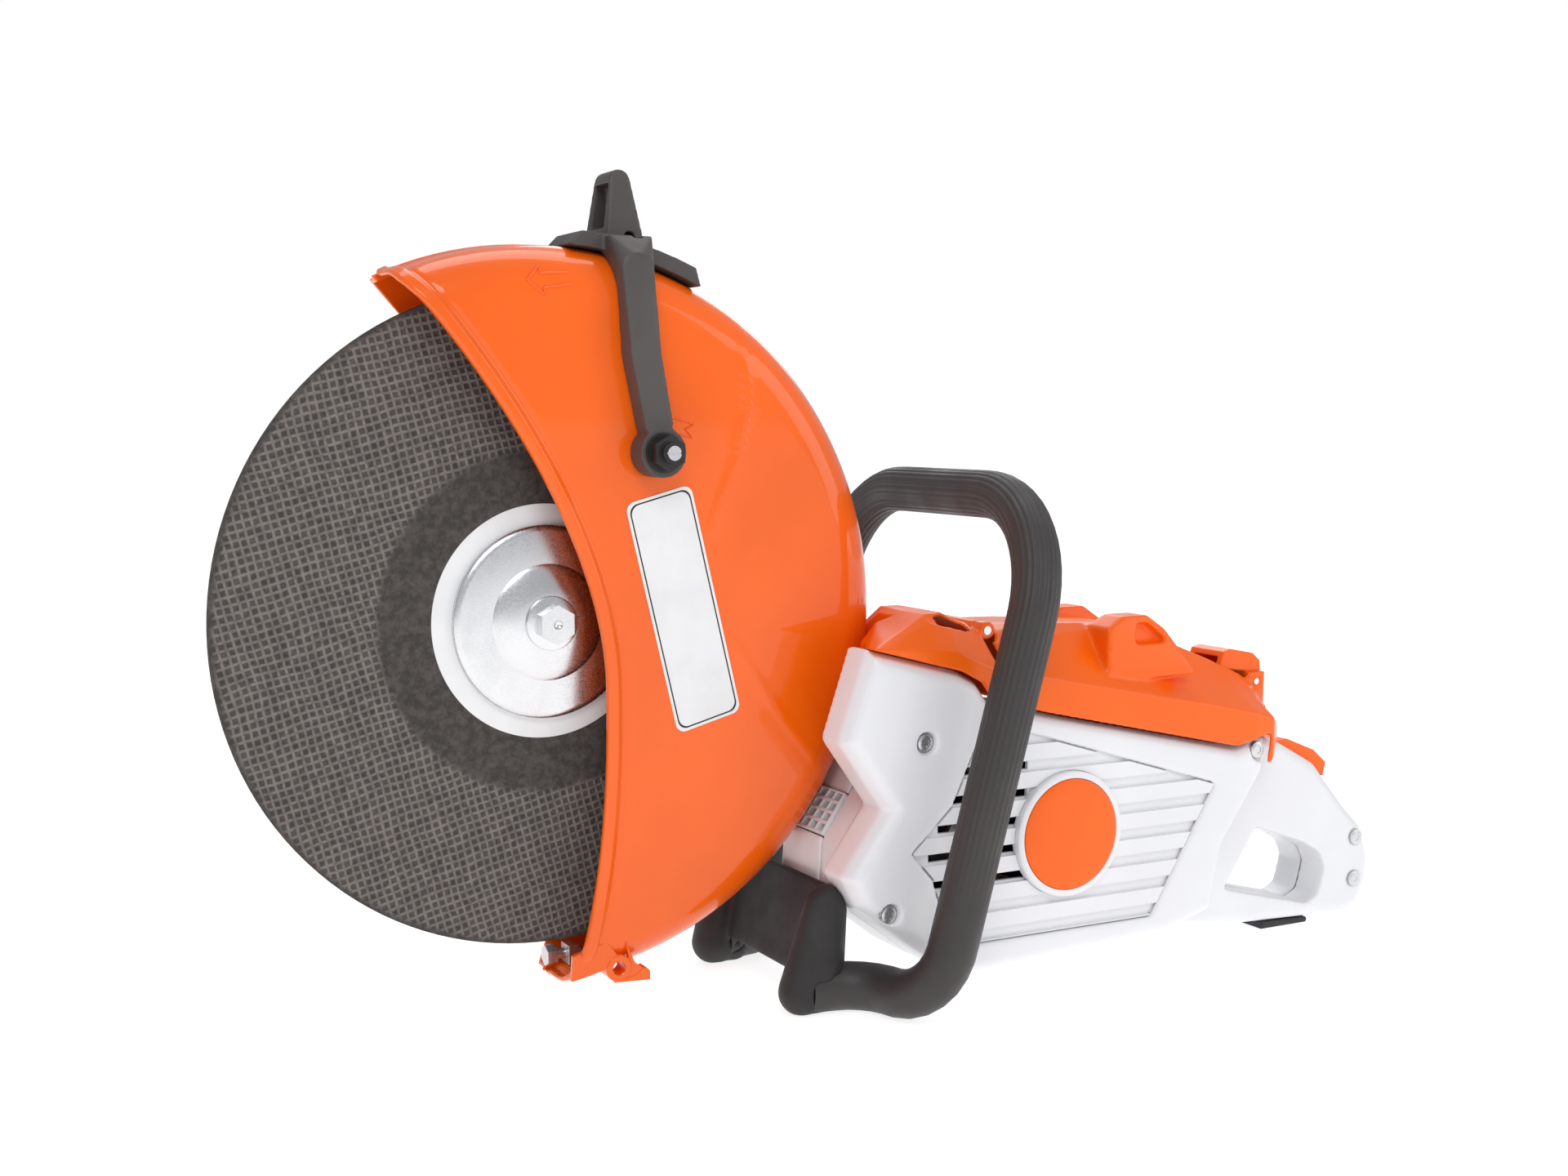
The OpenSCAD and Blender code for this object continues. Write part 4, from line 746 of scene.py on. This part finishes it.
def roundedPlate(name, outline, radius, low, high, slot, inner=None):
    """flat plate on the guard's near face; with inner it is a line that runs round the plate's edge"""
    bm = bmesh.new()

    def loop(shrink, y):
        middle = sum(outline, Vector((0, 0))) / len(outline)
        ring = []
        for k, corner in enumerate(outline):
            before, after = outline[k - 1], outline[(k + 1) % len(outline)]
            u, v = (before - corner).normalized(), (after - corner).normalized()
            place = corner + (u + v) * shrink
            for t in range(7):
                q = t / 6
                p = bezierPoint(place + u * radius, place + u * radius * 0.45, place + v * radius * 0.45, place + v * radius, q)
                ring.append(bm.verts.new((HUB + Vector((p.x, y, p.y))) * MM))
        return ring

    rings = [loop(0, high), loop(0, low)]
    if inner is not None:
        rings = [loop(inner[0], low), loop(inner[1], low)]
    size = len(rings[0])
    for a, b in zip(rings, rings[1:]):
        for k in range(size):
            bm.faces.new((a[k], a[(k + 1) % size], b[(k + 1) % size], b[k]))
    if inner is None:
        bm.faces.new(rings[0])
        bm.faces.new(list(reversed(rings[-1])))
    return finishPiece(meshFrom(bm), name, "guard", slot, smooth=False)


def web(name, outline, low, high):
    """flat rib of the eyelet's bracket, outline in mm from the hub, with its edges broken"""
    bm = bmesh.new()
    base = bm.faces.new([bm.verts.new((HUB + Vector((x, low, z - guard["radius"]))) * MM) for x, z in outline])
    grown = bmesh.ops.extrude_face_region(bm, geom=[base])["geom"]
    bmesh.ops.translate(bm, vec=(0, (high - low) * MM, 0), verts=[v for v in grown if isinstance(v, bmesh.types.BMVert)])
    bmesh.ops.bevel(bm, geom=bm.edges[:], offset=0.5 * MM, affect="EDGES", segments=2, profile=0.5, material=-1)
    return finishPiece(meshFrom(bm), name, "guard", "orange_paint", smooth=False)


lathe("eyeletBoss", "guard", "orange_paint", HUB + Vector((30.5, 0, -188)),
      [(3.7, -26.7), (4.1, -27), (6.9, -27), (7.5, -26.4), (7.5, -15), (3.7, -15)], 72, close=True)
web("eyeletWebFront", ((4, 17), (24, 23), (30, 14), (26, 8), (14, 5), (3, 3)), -26.5, -23)
web("eyeletWebRear", ((34, 23), (40, 9), (49, 2), (49, -2), (28, -1), (32, 2), (37, 7), (36, 14)), -26.4, -23)
web("eyeletFoot", ((46, 6), (49, 3), (49, -2), (30, -1), (30, 0.2), (40, 2)), -26.7, -19)
plate = roundedPlate("guardPlate", plateOutline, 5, -27.5, -27.02, "paper_white")
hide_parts("guard_plate")
roundedPlate("plateLine", plateOutline, 5, -27.54, -27.5, "black_plastic", inner=(1.5, 2.3))
print("fittings ready")

for name, width in (("side_panel", 0.8), ("front_grille", 0.5),
                    ("belt_cover", 1.5), ("arm", 0.8), ("guard_back", 0.8),
                    ("wheel_bolt", 0.6), ("water_nozzle", 0.5), ("trigger", 1.4), ("rear_foot", 1.5), ("stop_bolt", 0.5),
                    ("cutting_wheel", 0.4), ("battery", 2.0)):
    roundEdges(nodes[name], width * MM, dissolve=name not in ("side_panel", "front_grille"))
print("edges rounded")
